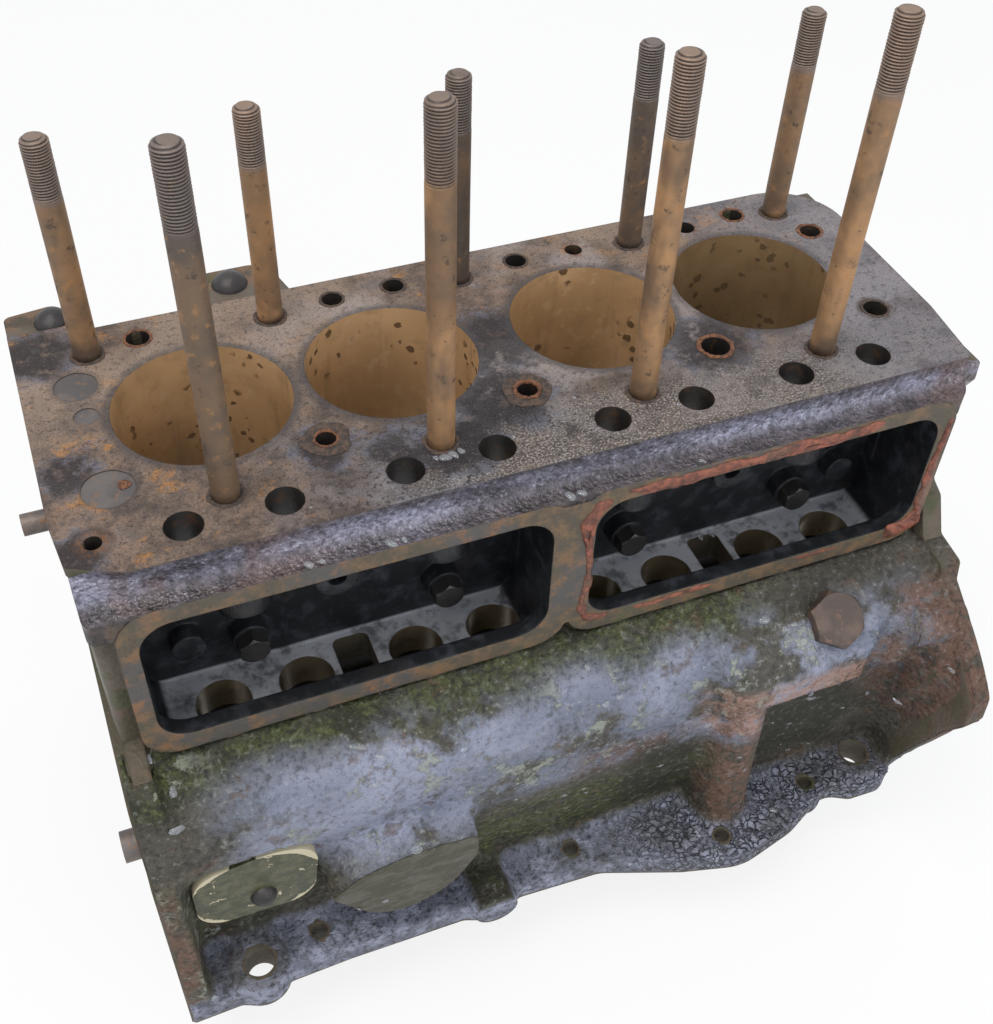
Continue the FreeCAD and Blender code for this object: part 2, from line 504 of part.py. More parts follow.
def main_cap(x0, x1, bore_d):
    """Bearing cap under one web: a block with sloped shoulders and two bolt pads."""
    w = CAP_W / 2
    z0 = CRANK_Z - CAP_H
    neck = CAP_BOLT_Y - CAP_SCREW_AF / math.sqrt(3) - 3.0
    seat = CRANK_Z - CAP_SEAT
    profile = [(-w, CRANK_Z, 1), (-w, seat, 3), (-neck, seat, 2), (4.0 - neck, z0, 6),
               (neck - 4.0, z0, 6), (neck, seat, 2), (w, seat, 3), (w, CRANK_Z, 1)]
    cap = prism_x(profile, x0 + 1.0, x1 - 1.0)
    middle = (x0 + x1) / 2
    cuts = [rod(bore_d, 60.0, V(middle - 30, 0, CRANK_Z), AX)]
    cuts += [rod(CAP_BOLT_D + 0.06, 60.0, V(middle, y, CRANK_Z - 40), AZ)
             for y in (-CAP_BOLT_Y, CAP_BOLT_Y)]
    return cap.cut(cuts)


def cap_screws(x):
    seat = CRANK_Z - CAP_SEAT
    return [screw(CAP_BOLT_D, 45.0, CAP_SCREW_AF, 8.0, V(x, y, seat), -AZ)
            for y in (-CAP_BOLT_Y, CAP_BOLT_Y)]


def cam_bush(d, x0, x1):
    at = V(x0 + 0.5, CAM_Y, CAM_Z)
    length = x1 - x0 - 1.0
    return rod(d - 0.04, length, at, AX).cut(rod(d - 2 * BUSH_WALL, length, at, AX))


def core_plug(x):
    """Dished cup pressed into a core hole of the plug side."""
    at = V(x, DECK_BACK_Y - 0.5, CORE_PLUG_Z)
    cup = rod(CORE_PLUG_D - 0.04, 5.6, at, -AY)
    return cup.cut(rod(CORE_PLUG_D - 4.0, 4.0, at, -AY))


def chest_gasket():
    """What is left of the jointing on the rear chest face: top, inner side and two corners."""
    x0, x1 = RIM_X[0] + 1.2, RIM_X[1] - 1.2
    z0, z1 = RIM_Z[0] + 1.2, RIM_Z[1] - 1.2
    t = 0.7
    band = prism_y(rect(x0, x1, z0, z1, 11.8), CHEST_FACE_Y - t, CHEST_FACE_Y)
    hole = prism_y(rect(CHEST_X[0] - 1, CHEST_X[1] + 1, CHEST_Z[0] - 1, CHEST_Z[1] + 1, 12.5),
                   CHEST_FACE_Y - 2 * t, CHEST_FACE_Y + 1)
    lost = [box(132.0, 160.0, -80, -78, -40.0, 0.0), box(62.0, 112.0, -80, -78, -90.0, -60.0)]
    return band.cut([hole] + lost)


def export(shape, name):
    shape.exportStep("parts/%s.step" % name)


def main():
    os.makedirs("parts", exist_ok=True)
    export(cylinder_block(), "cylinder_block")
    for i, (x, h) in enumerate(zip(FRONT_STUD_XS, FRONT_STUD_HS)):
        export(head_stud(x, FRONT_STUD_Y, h), "head_stud_long_%d" % (i + 1))
    for i, (x, h) in enumerate(zip(BACK_STUD_XS, BACK_STUD_HS)):
        export(head_stud(x, BACK_STUD_Y, h), "head_stud_short_%d" % (i + 1))
    for name, (x, y, d) in PATCHES.items():
        export(rod(d - 0.04, PATCH_DEPTH - 0.3, V(x, y, -PATCH_DEPTH), AZ), name)
    for i, x in enumerate(FRONT_STUD_XS):
        seat = V(x, CHEST_BACK_Y - 7.0, CHEST_PLUG_Z)
        export(screw(CHEST_PLUG_D, 9.0, CHEST_PLUG_AF, 6.0, seat, -AY), "chest_plug_%d" % (i + 1))
    export(screw(GALLERY_PLUG_D, 14.0, GALLERY_PLUG_AF, 8.0, GALLERY_PLUG_AT, GALLERY_PLUG_AXIS),
           "gallery_plug")
    joint = prism_y(pad_outline(-0.3), PAD_FACE_Y - 0.8, PAD_FACE_Y)
    x, z = PAD_XZ
    clear = rod(PUMP_SCREW_D + 0.4, 20.0, V(x + 1, PAD_FACE_Y - 12, z - 8.0), AY)
    export(joint.cut(clear), "pump_pad_gasket")
    plate = prism_y(pad_outline(-0.8), PAD_FACE_Y - 5.3, PAD_FACE_Y - 0.8)
    export(plate.cut(clear), "pump_pad_cover")
    seat = V(x + 1, PAD_FACE_Y - 5.3, z - 8.0)
    export(domed(PUMP_SCREW_D, 16.0, 10.5, 4.0, seat, -AY), "pump_pad_screw")
    for name, (x, y) in zip(("front", "rear"), LUG_SCREW_AT):
        export(domed(LUG_SCREW_D, 13.0, LUG_HEAD_D, LUG_HEAD_H, V(x, y, -LUG_DROP), AZ),
               "lug_screw_" + name)
    for i, x in enumerate(CORE_PLUG_XS):
        export(core_plug(x), "core_plug_%d" % (i + 1))
    names = ("front", "centre", "rear")
    for name, d, (x0, x1), x in zip(names, CAM_BORES, WEB_SPANS, CAP_XS):
        export(cam_bush(d, x0, x1), "cam_bush_" + name)
        export(main_cap(x0, x1, MAIN_BORE_D), "main_cap_" + name)
        export(Part.makeCompound(cap_screws(x)), "cap_screws_" + name)
    y, z = PUMP_BOLTS[0]
    export(rod(PUMP_BOLT_D - 0.04, 26.0, V(FRONT - 10.0, y, z), AX), "pump_stud_stub")
    export(rod(DOWEL_D, 17.0, V(FRONT - 5.5, *DOWEL_AT), AX), "timing_dowel")
    export(chest_gasket(), "chest_gasket_rear")


main()
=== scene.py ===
# %% [markdown]
# # A used cylinder block, dressed for its portrait
#
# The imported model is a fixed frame: every casting, stud and plug already lies
# where it belongs, in metres.  This lesson adds what a machinist's drawing
# leaves out: soft cast corners, threads, crusted rust, moss, oil and water.

# %% Load the frame
import json
import math

import bpy
import numpy as np
from mathutils import Matrix, Vector


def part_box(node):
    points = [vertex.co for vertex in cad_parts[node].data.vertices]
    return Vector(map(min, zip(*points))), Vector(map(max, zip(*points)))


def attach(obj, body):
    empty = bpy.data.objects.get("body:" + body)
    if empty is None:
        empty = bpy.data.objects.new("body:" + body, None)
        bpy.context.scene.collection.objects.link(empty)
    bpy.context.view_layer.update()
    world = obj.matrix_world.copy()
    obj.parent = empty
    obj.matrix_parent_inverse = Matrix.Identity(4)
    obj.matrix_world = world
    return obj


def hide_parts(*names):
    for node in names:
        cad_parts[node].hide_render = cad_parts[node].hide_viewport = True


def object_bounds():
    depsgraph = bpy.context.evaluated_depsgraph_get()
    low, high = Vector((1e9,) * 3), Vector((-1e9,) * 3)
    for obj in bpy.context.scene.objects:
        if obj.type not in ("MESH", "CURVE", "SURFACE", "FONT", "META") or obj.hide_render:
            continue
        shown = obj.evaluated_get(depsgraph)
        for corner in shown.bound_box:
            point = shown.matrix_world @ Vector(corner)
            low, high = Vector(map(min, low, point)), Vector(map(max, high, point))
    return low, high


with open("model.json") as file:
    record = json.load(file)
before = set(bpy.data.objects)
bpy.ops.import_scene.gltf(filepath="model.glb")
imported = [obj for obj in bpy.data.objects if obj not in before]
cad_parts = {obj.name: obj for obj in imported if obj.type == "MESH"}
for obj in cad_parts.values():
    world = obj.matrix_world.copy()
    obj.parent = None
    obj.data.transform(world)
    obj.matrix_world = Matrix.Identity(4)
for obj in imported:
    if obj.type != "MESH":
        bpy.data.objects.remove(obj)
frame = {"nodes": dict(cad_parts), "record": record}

MM = 0.001
cad_low, cad_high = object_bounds()
nodes = frame["nodes"]
mounts = {row["name"]: row for row in frame["record"]["mounts"]}
print("nodes in the frame:", len(nodes), "mounts:", len(mounts))

# %% [markdown]
# ## Arithmetic on shader sockets
#
# Node trees grow fast.  One small class wraps a socket, so that `1 - rust * 0.5`
# builds the Math nodes by itself and a finish reads like a sum.


# %% The socket wrapper
def math_node(operation, swapped=False):
    """A method that adds one Math node; swapped puts the other operand first."""
    def method(self, other):
        first, second = (other, self) if swapped else (self, other)
        return self.finish.node("ShaderNodeMath", {"operation": operation}, {0: first, 1: second})
    return method


class Value:
    """A number that varies over a surface, held as one output socket."""

    def __init__(self, finish, socket):
        self.finish, self.socket = finish, socket

    __add__ = math_node("ADD")
    __radd__ = math_node("ADD", swapped=True)
    __sub__ = math_node("SUBTRACT")
    __rsub__ = math_node("SUBTRACT", swapped=True)
    __mul__ = math_node("MULTIPLY")
    __rmul__ = math_node("MULTIPLY", swapped=True)
    __truediv__ = math_node("DIVIDE")
    __pow__ = math_node("POWER")
    most = math_node("MAXIMUM")

    def held(self):
        """The value kept between 0 and 1."""
        settings = {"operation": "ADD", "use_clamp": True}
        return self.finish.node("ShaderNodeMath", settings, {0: self, 1: 0.0})

    def rise(self, low, high):
        """0 below low, 1 above high, and a smooth ramp between (also downwards)."""
        settings = {"interpolation_type": "SMOOTHSTEP"}
        return self.finish.node("ShaderNodeMapRange", settings, {0: self, 1: low, 2: high})

    def past(self, low, high):
        """rise() of a length, with its limits in millimetres."""
        return self.rise(low * MM, high * MM)

    def within(self, low, high, soft):
        """1 where a length lies from low to high mm, fading out over soft at either end."""
        return self.past(low - soft, low + soft) * self.past(high + soft, high - soft)


class Finish:
    """A material under construction; node() adds any node and wires it."""

    def __init__(self, name):
        self.material = bpy.data.materials.new(name)
        self.material.use_nodes = True
        self.tree = self.material.node_tree
        self.tree.nodes.clear()
        self.shader = self.tree.nodes.new("ShaderNodeBsdfPrincipled")
        out = self.tree.nodes.new("ShaderNodeOutputMaterial")
        self.tree.links.new(self.shader.outputs[0], out.inputs[0])
        self.place = self.node("ShaderNodeTexCoord", {}, {}, out="Object")
        self.x, self.y, self.z = (self.node("ShaderNodeSeparateXYZ", {}, {0: self.place}, out=k)
                                  for k in range(3))

    def node(self, kind, settings, values, out=0):
        """Any node: its type, its settings, and the values or links of its sockets."""
        made = self.tree.nodes.new(kind)
        for key, setting in settings.items():
            setattr(made, key, setting)
        for key, value in values.items():
            self.feed(made.inputs[key], value)
        return Value(self, made.outputs[out])

    def feed(self, socket, value):
        """Links a Value to the socket, or sets the socket to a number or a colour."""
        if isinstance(value, Value):
            self.tree.links.new(value.socket, socket)
        elif isinstance(value, tuple) and socket.type == "RGBA":
            socket.default_value = (*value, 1.0)
        else:
            socket.default_value = value

    def noise(self, per_metre, detail=3.0, rough=0.55, stretch=None, out=0):
        place = self.place
        if stretch:
            place = self.node("ShaderNodeMapping", {}, {"Vector": place, "Scale": stretch})
        return self.node("ShaderNodeTexNoise", {}, {
            "Vector": place, "Scale": per_metre, "Detail": detail, "Roughness": rough}, out)

    def noises(self, *kinds):
        """Several noises, each given by its scale, detail and roughness."""
        return [self.noise(*kind) for kind in kinds]

    def cells(self, per_metre, feature="F1", place=None):
        return self.node("ShaderNodeTexVoronoi", {"feature": feature}, {
            "Vector": place or self.place, "Scale": per_metre})

    def mix(self, factor, a, b):
        """Colour a where factor is 0, colour b where it is 1."""
        return self.node("ShaderNodeMix", {"data_type": "RGBA", "clamp_factor": True},
                         {0: factor, 6: a, 7: b}, out=2)

    def coats(self, colour, *coats):
        """The colour under coats laid on in turn, each given as (how much shows, its colour)."""
        for share, tone in coats:
            colour = self.mix(share, colour, tone)
        return colour

    def finish(self, colour, roughness, metallic=0.0, height=None, relief=0.0004, edge=0.0,
               gloss=0.5):
        """Feeds the Principled shader; height is in units of relief metres.

        edge is the radius in metres that sharp edges seem to have, and gloss the
        strength of the mirror layer, lower on dry rust and grime.
        """
        self.shader.inputs["Specular IOR Level"].default_value = gloss
        self.feed(self.shader.inputs["Base Color"], colour)
        self.feed(self.shader.inputs["Roughness"], roughness)
        self.feed(self.shader.inputs["Metallic"], metallic)
        if height is not None:
            settings = {"Height": height, "Distance": relief, "Strength": 1.0}
            if edge:
                settings["Normal"] = self.node("ShaderNodeBevel", {"samples": 4}, {"Radius": edge})
            self.feed(self.shader.inputs["Normal"], self.node("ShaderNodeBump", {}, settings))
        print("finish", self.material.name, "nodes:", len(self.tree.nodes))
        return self.material


# %% [markdown]
# ## Surfaces from arrays
#
# Every new piece is a grid of points worked out by numpy.  A helper turns such
# a grid into a mesh and parents the piece to the root body.


# %% Grid meshes
def put(name, data):
    """A new object in the scene."""
    thing = bpy.data.objects.new(name, data)
    bpy.context.collection.objects.link(thing)
    return thing


def grid_faces(rows, columns, close_rows=False, close_columns=False, keep=None):
    """Quads of a grid; keep is a mask of the vertices that may be used."""
    r = np.arange(rows if close_rows else rows - 1)
    c = np.arange(columns if close_columns else columns - 1)
    r, c = (a.ravel() for a in np.meshgrid(r, c, indexing="ij"))
    r2, c2 = (r + 1) % rows, (c + 1) % columns
    quads = np.stack([r * columns + c, r * columns + c2, r2 * columns + c2, r2 * columns + c], 1)
    return quads if keep is None else quads[keep.ravel()[quads].all(1)]


def mesh_piece(name, points, quads, material, ends=()):
    """A mesh object riding on the block, without the points no face uses.

    ends holds rings of point numbers, each closed by one flat face.
    """
    used, quads = np.unique(quads, return_inverse=True)
    quads = quads.reshape(-1, 4)
    rings = [np.searchsorted(used, ring).tolist() for ring in ends]
    mesh = bpy.data.meshes.new(name)
    mesh.from_pydata(points.reshape(-1, 3)[used].tolist(), [], quads.tolist() + rings)
    mesh.polygons.foreach_set("use_smooth", np.full(len(mesh.polygons), True))
    mesh.materials.append(material)
    mesh.validate()
    mesh.update()
    piece = put(name, mesh)
    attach(piece, "root")
    print(name, "quads:", len(quads))
    return piece


def tube_piece(name, rings, material):
    """A tube with one ring of points in each row, closed by a flat face at either end."""
    numbers = np.arange(rings[..., 0].size).reshape(rings.shape[:2])
    faces = grid_faces(*numbers.shape, close_columns=True)
    return mesh_piece(name, rings, faces, material, ends=(numbers[0, ::-1], numbers[-1]))


def angles(count):
    """Equal steps round a full turn, without the last point that meets the first."""
    return np.linspace(0, 2 * np.pi, count, endpoint=False)


def ramp(value, low, high):
    """0 at low, 1 at high, straight between and held outside (also downwards)."""
    return np.clip((value - low) / (high - low), 0, 1)


def value_noise(shape, cells, seed):
    """Smooth noise on a grid: random numbers at coarse cells, blended by a smooth step."""
    random = np.random.default_rng(seed).random((cells[0] + 2, cells[1] + 2))
    u = np.linspace(0, cells[0], shape[0], endpoint=False)[:, None]
    v = np.linspace(0, cells[1], shape[1], endpoint=False)[None, :]
    i, j = u.astype(int), v.astype(int)
    a, b = u - i, v - j
    a, b = a * a * (3 - 2 * a), b * b * (3 - 2 * b)
    low = random[i, j] * (1 - a) + random[i + 1, j] * a
    high = random[i, j + 1] * (1 - a) + random[i + 1, j + 1] * a
    return low * (1 - b) + high * b


# %% [markdown]
# ## The finishes of old cast iron
#
# One casting carries many finishes: a machined deck with orange rust, a dark
# oily cove, black tappet chests, honey-brown bores, mossy outside walls.  Each
# face of the casting is given its zone from where it lies, as an inspector
# would colour a drawing, and inside a zone noise decides between the tones.


# %% Places on the casting that the finishes refer to
def round_mounts(name, count):
    """(x, y) of the upright mounts name_1 to name_count, and the radius they share."""
    rows = [mounts["%s_%d" % (name, k + 1)] for k in range(count)]
    return [row["pos_m"][:2] for row in rows], rows[0]["dims"]["r_mm"] * MM


def middle(name):
    """(x, y) of the middle of a node's box."""
    low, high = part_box(name)
    return (low[0] + high[0]) / 2, (low[1] + high[1]) / 2


BORES, BORE_R = round_mounts("cylinder", 4)
GUIDES, GUIDE_R = round_mounts("tappet_bore", 8)
DECK_PLUGS = [middle("deck_plug_" + which) for which in ("back", "middle", "front")]
WATER_HOLES = [(x * MM, y * MM) for x, y in (
    (-123.2, 43.4), (-49.8, 42.7), (-25.1, 43.2), (26, 43), (50.9, 42.5), (101.2, 41.9),
    (124.4, 43.6), (149.3, 22.4), (-74.3, -32.4), (-0.2, -32), (75.3, -32.3), (145.1, -32.3),
    (-155.6, -53.9))]
CHEST_FACE = -78.4 * MM
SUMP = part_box("cylinder_block")[0][2]
print("bores:", len(BORES), "tappet guides:", len(GUIDES), "water holes:", len(WATER_HOLES))


# %% Deck
def distance(a, b):
    """Square root of a squared plus b squared."""
    return (a * a + b * b) ** 0.5


def near_any(f, places, reach, soft):
    """1 within reach of any of the upright lines (x, y), fading out over soft (both in mm)."""
    mask = 0.0
    for x, y in places:
        mask = distance(f.x - x, f.y - y).past(reach + soft, reach - soft) + mask
    return mask.held()


def blots(f, places, wander):
    """1 in the middle of each ragged round stain (x, y, radius in mm), 0 outside all."""
    mask = 0.0
    for x, y, radius in places:
        away = distance(f.x + wander - x * MM, f.y + wander * 0.8 - y * MM)
        mask = away.past(radius, radius * 0.45) + mask
    return mask.held()


DECK_STAINS = (      # x, y and radius in mm
    (-10, -33, 23), (1, 0, 21), (-76, -36, 14), (74, -31, 22), (-160, 44, 20), (-32, -52, 17),
    (-158, -20, 13), (-52, -45, 13), (-164, -60, 14))


def deck_finish():
    f = Finish("rusty_machined_deck")
    patches, mottle, grain, pits = f.noises((21, 4, 0.6), (120, 5, 0.7),
                                            (1250, 3, 0.7), (430, 3, 0.65))
    wander = (f.noise(26, 4, 0.65) - 0.5) * 0.1
    left, right = f.x.past(-30, -130), f.x.past(75, 145)
    back, front = f.y.past(-30, 35), (f.y + wander * 0.5).past(0, -45)
    # dry tones
    rust = (patches * 0.45 + mottle * 0.55).rise(0.46, 0.6) * (left.most(back) * 0.7 + 0.3)
    orange = f.noise(75, 5, 0.7).rise(0.56, 0.66) * left.most(back)
    tan = f.noise(15, 3, 0.6).rise(0.42, 0.6) * back
    scale = grain.rise(0.46, 0.58) * (f.x + wander * 0.3).within(-45, 135, 30)
    scale = scale * (f.y + wander * 0.2).past(-36, -50)
    clean = patches.rise(0.48, 0.6) * (1.0 - left * 0.7)
    # water and oil
    wet = front * (f.x + wander).within(-80, 5, 30) * patches.rise(0.36, 0.56)
    blue = wet * mottle.rise(0.34, 0.6)
    soaked = blots(f, DECK_STAINS, (f.noise(55, 5, 0.7) - 0.5) * 0.03)
    halo = soaked * (1.0 - soaked) * 4.0 * mottle.rise(0.4, 0.58)
    dark = pits.rise(0.55, 0.66) * (0.45 + wet * 0.5 + scale * 0.4)
    stain = f.noise(34, 5, 0.7).rise(0.53, 0.62) * (f.y + wander).past(35, -10)
    stain = stain * (1.0 - left * 0.5) * (1.0 - f.x.past(-10, 30) * 0.55)
    # round the holes
    front_holes = [(x, y) for x, y in WATER_HOLES if y < -30 * MM]
    crusted = near_any(f, front_holes, 7.2, 1.4)
    red = near_any(f, WATER_HOLES, 5.3, 1.0) * pits.rise(0.42, 0.6)
    lips = near_any(f, BORES, BORE_R / MM + 2.6, 1.6) * mottle.rise(0.3, 0.55)
    plugs = near_any(f, DECK_PLUGS, 9.5, 0.8)
    colour = f.coats(
        f.mix(mottle.rise(0.38, 0.64), (0.105, 0.075, 0.06), (0.19, 0.14, 0.11)),
        (rust * 0.55, (0.225, 0.12, 0.062)),
        (orange, (0.33, 0.16, 0.055)),
        (tan * 0.65, (0.33, 0.245, 0.185)),
        (wet * 0.75, (0.05, 0.046, 0.05)),
        (blue * 0.75, (0.135, 0.142, 0.175)),
        (scale * 0.6, (0.5, 0.475, 0.455)),
        (clean * 0.6, (0.33, 0.29, 0.278)),
        (right * 0.55, (0.225, 0.228, 0.262)),
        (halo * 0.75, (0.185, 0.195, 0.25)),
        (soaked * mottle.rise(0.3, 0.5) * 0.93, (0.022, 0.018, 0.022)),
        (dark.held(), (0.03, 0.026, 0.025)),
        (grain.rise(0.5, 0.34) * 0.55, (0.028, 0.023, 0.021)),
        (grain.rise(0.58, 0.72) * 0.35, (0.43, 0.39, 0.35)),
        (stain * 0.8, (0.038, 0.03, 0.03)),
        (crusted * mottle.rise(0.36, 0.6) * 0.85, (0.045, 0.028, 0.022)),
        (red * 0.6, (0.2, 0.085, 0.034)),
        (lips * 0.7, (0.055, 0.05, 0.053)),
        (plugs * 0.35, (0.06, 0.052, 0.052)))
    shine = wet.most(soaked) * f.noise(60, 3, 0.6).rise(0.53, 0.63)
    rough = 0.7 - shine * 0.52 - blue * 0.12 + scale * 0.12
    height = mottle * 0.5 + grain * 0.5 - dark * 0.7 - crusted * mottle * 0.8 + scale * 0.35
    return f.finish(colour, rough, metallic=0.06, height=height, relief=0.0006, edge=0.0012,
                    gloss=0.3)


# %% Cove, rims and chests
def cove_finish():
    f = Finish("wet_black_cove")
    mottle, grain, tone = f.noises((110, 5, 0.65), (520, 3, 0.65), (24, 3, 0.6))
    height = f.z + (tone - 0.5) * (9 * MM)
    # painted highlight: lit marks a pale violet band across the upper curve of the cove, where it
    # faces the light
    lit = height.within(-8.5, -2.5, 2.2)
    smooth = f.noise(40, 3, 0.5, stretch=(0.4, 1.0, 1.0)).rise(0.34, 0.56)
    brown = tone.rise(0.46, 0.6) * f.x.past(-50, -120).most(f.x.past(100, 160))
    low = f.z.past(-9, -14)
    colour = f.coats(
        f.mix(mottle.rise(0.38, 0.6), (0.042, 0.036, 0.042), (0.105, 0.092, 0.112)),
        # the painted highlight band
        (lit * smooth * 0.85, (0.285, 0.285, 0.375)),
        (brown * 0.7, (0.12, 0.07, 0.056)),
        # darker and browner towards the bottom of the cove
        (height.past(-9, -14) * 0.75, (0.046, 0.036, 0.032)),
        (grain.rise(0.52, 0.38) * 0.55, (0.016, 0.014, 0.016)),
        # painted glints: light lavender grain specks, stronger in the painted highlight band
        (grain.rise(0.57, 0.68) * (0.12 + lit * 0.3), (0.5, 0.51, 0.62)),
        (low * mottle.rise(0.48, 0.62) * 0.6, (0.13, 0.085, 0.05)))
    wet = f.noise(38, 4, 0.6, stretch=(0.5, 1.0, 2.0)).rise(0.42, 0.56)
    return f.finish(colour, 0.48 - wet * 0.34, metallic=0.2, relief=0.001, edge=0.0018,
                    height=f.cells(700) * 0.35 + grain * 0.8 + mottle * 0.6)


def rim_finish():
    f = Finish("rusty_joint_face")
    mottle, patches, grain = f.noises((150, 5, 0.7), (30, 4, 0.6), (900, 3, 0.65))
    green = f.noise(48, 4, 0.6).rise(0.55, 0.68) * f.z.past(-60, -78)
    colour = f.coats(
        f.mix(mottle.rise(0.42, 0.62), (0.085, 0.07, 0.048), (0.17, 0.105, 0.055)),
        (patches.rise(0.5, 0.62) * 0.75, (0.075, 0.072, 0.072)),
        ((mottle * 0.6 + patches * 0.4).rise(0.54, 0.64) * 0.8, (0.23, 0.11, 0.045)),
        (green * 0.6, (0.1, 0.105, 0.05)),
        (grain.rise(0.56, 0.68) * 0.5, (0.035, 0.028, 0.022)))
    return f.finish(colour, 0.58 - patches.rise(0.5, 0.7) * 0.2, metallic=0.1,
                    height=mottle * 0.6 + grain * 0.6, edge=0.001)


def chest_finish():
    f = Finish("oily_tappet_chest")
    mottle, grain = f.noises((120, 5, 0.65), (700, 3, 0.6))
    # painted reflection: the chest floor is coloured pale blue-grey where its wet film reflects the
    # sky
    floor = f.z.past(-87.0, -88.7)
    colour = f.coats(
        f.mix(mottle.rise(0.46, 0.7), (0.01, 0.011, 0.013), (0.04, 0.043, 0.052)),
        # the painted reflection on the wet chest floor
        (floor, f.mix(mottle.rise(0.32, 0.54), (0.15, 0.153, 0.162), (0.42, 0.43, 0.46))),
        (f.noise(60, 4, 0.6).rise(0.56, 0.66) * 0.7, (0.02, 0.018, 0.018)))
    return f.finish(colour, 0.42 - floor * 0.2, height=mottle + grain * 0.3,
                    edge=0.0012, gloss=0.4)


# %% Bores, guides and dark holes
def bore_finish():
    f = Finish("oil_filmed_bore")
    broad, mottle = f.noises((26, 3, 0.5), (110, 5, 0.65))
    warp = (f.noise(210, 3, 0.6) - 0.5) * 0.9
    spots = (f.cells(165) + warp).rise(0.27, 0.19) * f.noise(24, 2, 0.5).rise(0.5, 0.56)
    runs = f.noise(120, 3, 0.6, stretch=(1.0, 1.0, 0.12)).rise(0.54, 0.7)
    # painted shade: the bore wall gets darker with depth, where less light reaches
    down = f.z.past(-4, -90)
    last_bore = f.x.past(70, 78)
    colour = f.coats(
        f.mix(broad.rise(0.38, 0.62), (0.5, 0.315, 0.155), (0.64, 0.41, 0.215)),
        (mottle.rise(0.5, 0.68) * 0.45, (0.33, 0.22, 0.115)),
        (mottle.rise(0.44, 0.34) * 0.35, (0.7, 0.52, 0.32)),
        (spots * 0.85, (0.07, 0.034, 0.01)),
        (runs * 0.35, (0.19, 0.12, 0.06)),
        # painted shade deeper in the bore
        (down * 0.4, (0.2, 0.14, 0.075)),
        (last_bore * 0.62, (0.13, 0.085, 0.04)))
    return f.finish(colour, 0.3 + spots * 0.25 + runs * 0.12, metallic=0.25,
                    height=mottle * 0.3 + spots, relief=0.00012)


def plain_finish(name, dark, light, third, roughness, metallic=0.05, relief=0.0003):
    """Three tones mottled together: a base, a lighter bloom and scattered spots."""
    f = Finish(name)
    mottle, patches, grain = f.noises((140, 5, 0.65), (42, 3, 0.6), (980, 2, 0.6))
    colour = f.coats(f.mix(patches.rise(0.38, 0.62), dark, light),
                     (mottle.rise(0.53, 0.68) * 0.75, third))
    return f.finish(colour, roughness + (mottle - 0.5) * 0.25, metallic=metallic,
                    height=mottle + grain * 0.5, relief=relief)


def wall_finish():
    f = Finish("mossy_cast_wall")
    mottle, patches = f.noises((150, 5, 0.65), (30, 4, 0.55))
    lug = f.y.past(64, 68) * f.z.past(-34, -26)
    colour = f.coats(
        f.mix(patches.rise(0.4, 0.6), (0.086, 0.072, 0.048), (0.126, 0.104, 0.08)),
        (lug * 0.75, f.mix(mottle.rise(0.42, 0.6), (0.06, 0.046, 0.036), (0.21, 0.12, 0.068))),
        (f.noise(45, 4, 0.6).rise(0.52, 0.66) * 0.75, (0.055, 0.068, 0.028)),
        (mottle.rise(0.54, 0.7) * 0.6, (0.15, 0.088, 0.062)))
    return f.finish(colour, 0.62 - patches.rise(0.5, 0.7) * 0.18, metallic=0.05,
                    height=f.cells(600) * 0.5 + mottle, relief=0.0005, edge=0.0018, gloss=0.35)


BLOCK_FINISHES = [
    wall_finish(), deck_finish(), cove_finish(), rim_finish(), chest_finish(), bore_finish(),
    plain_finish("dark_oily_hollow", (0.02, 0.018, 0.017), (0.034, 0.029, 0.026),
                 (0.09, 0.045, 0.022), 0.45),
    plain_finish("machined_end", (0.15, 0.14, 0.13), (0.105, 0.092, 0.082),
                 (0.18, 0.095, 0.055), 0.5, metallic=0.3),
    plain_finish("worn_tappet_guide", (0.23, 0.18, 0.11), (0.17, 0.13, 0.075),
                 (0.09, 0.065, 0.04), 0.32, metallic=0.3, relief=0.0001)]
WALL, DECK, COVE, RIM, CHEST, BORE, HOLLOW, END, GUIDE = range(len(BLOCK_FINISHES))


# %% Give each face of the casting its zone
def inside_any(centre, places, reach):
    """Mask of the face centres that lie within reach of any (x, y) line."""
    away = np.hypot(*(centre[:, None, :2] - np.array(places)[None]).transpose(2, 0, 1))
    return (away < reach).any(1)


def block_zones(c, n):
    """Zone number of each face, from its centre c and its normal n; later zones win."""
    x, y, z = c.T / MM
    side, up = np.abs(x), np.abs(n[:, 2])
    zone = np.full(len(c), WALL)
    zone[(y > -60) & (y < 60) & (z < -100) & (side < 166)] = HOLLOW
    zone[(n[:, 0] < -0.99) & (x < cad_low[0] / MM + 0.5)] = END
    zone[(n[:, 0] > 0.99) & (x > cad_high[0] / MM - 1.5)] = END
    zone[n[:, 2] < -0.99] = END
    zone[(z > -20) & (y < -64)] = COVE
    opening = (side > 7.6) & (side < 152)
    room = (y > -77.8) & (y < -42) & (z > -89.2) & (z < -9)
    lips = (y < -74) & (y > -78.3) & (z > -86) & (z < -15)
    above = (z > -16.9) & (y < -66)
    zone[opening & (room | lips) & ~above] = CHEST
    on_face = (n[:, 1] < -0.95) & (np.abs(y - CHEST_FACE / MM) < 0.3)
    zone[on_face & (z > -86) & (z < -9)] = RIM
    zone[(z > -34) & (z < -0.2) & (y > -62.8) & (y < 47.5) & (side < 158) & (up < 0.9)] = HOLLOW
    upright = up < 0.3
    zone[inside_any(c, GUIDES, GUIDE_R + 0.1 * MM) & (z < -80) & (z > -105) & upright] = GUIDE
    zone[inside_any(c, BORES, BORE_R + 0.1 * MM) & (z < -0.1) & (z > -146.5) & upright] = BORE
    zone[(n[:, 2] > 0.9) & (z > -0.6)] = DECK
    return zone


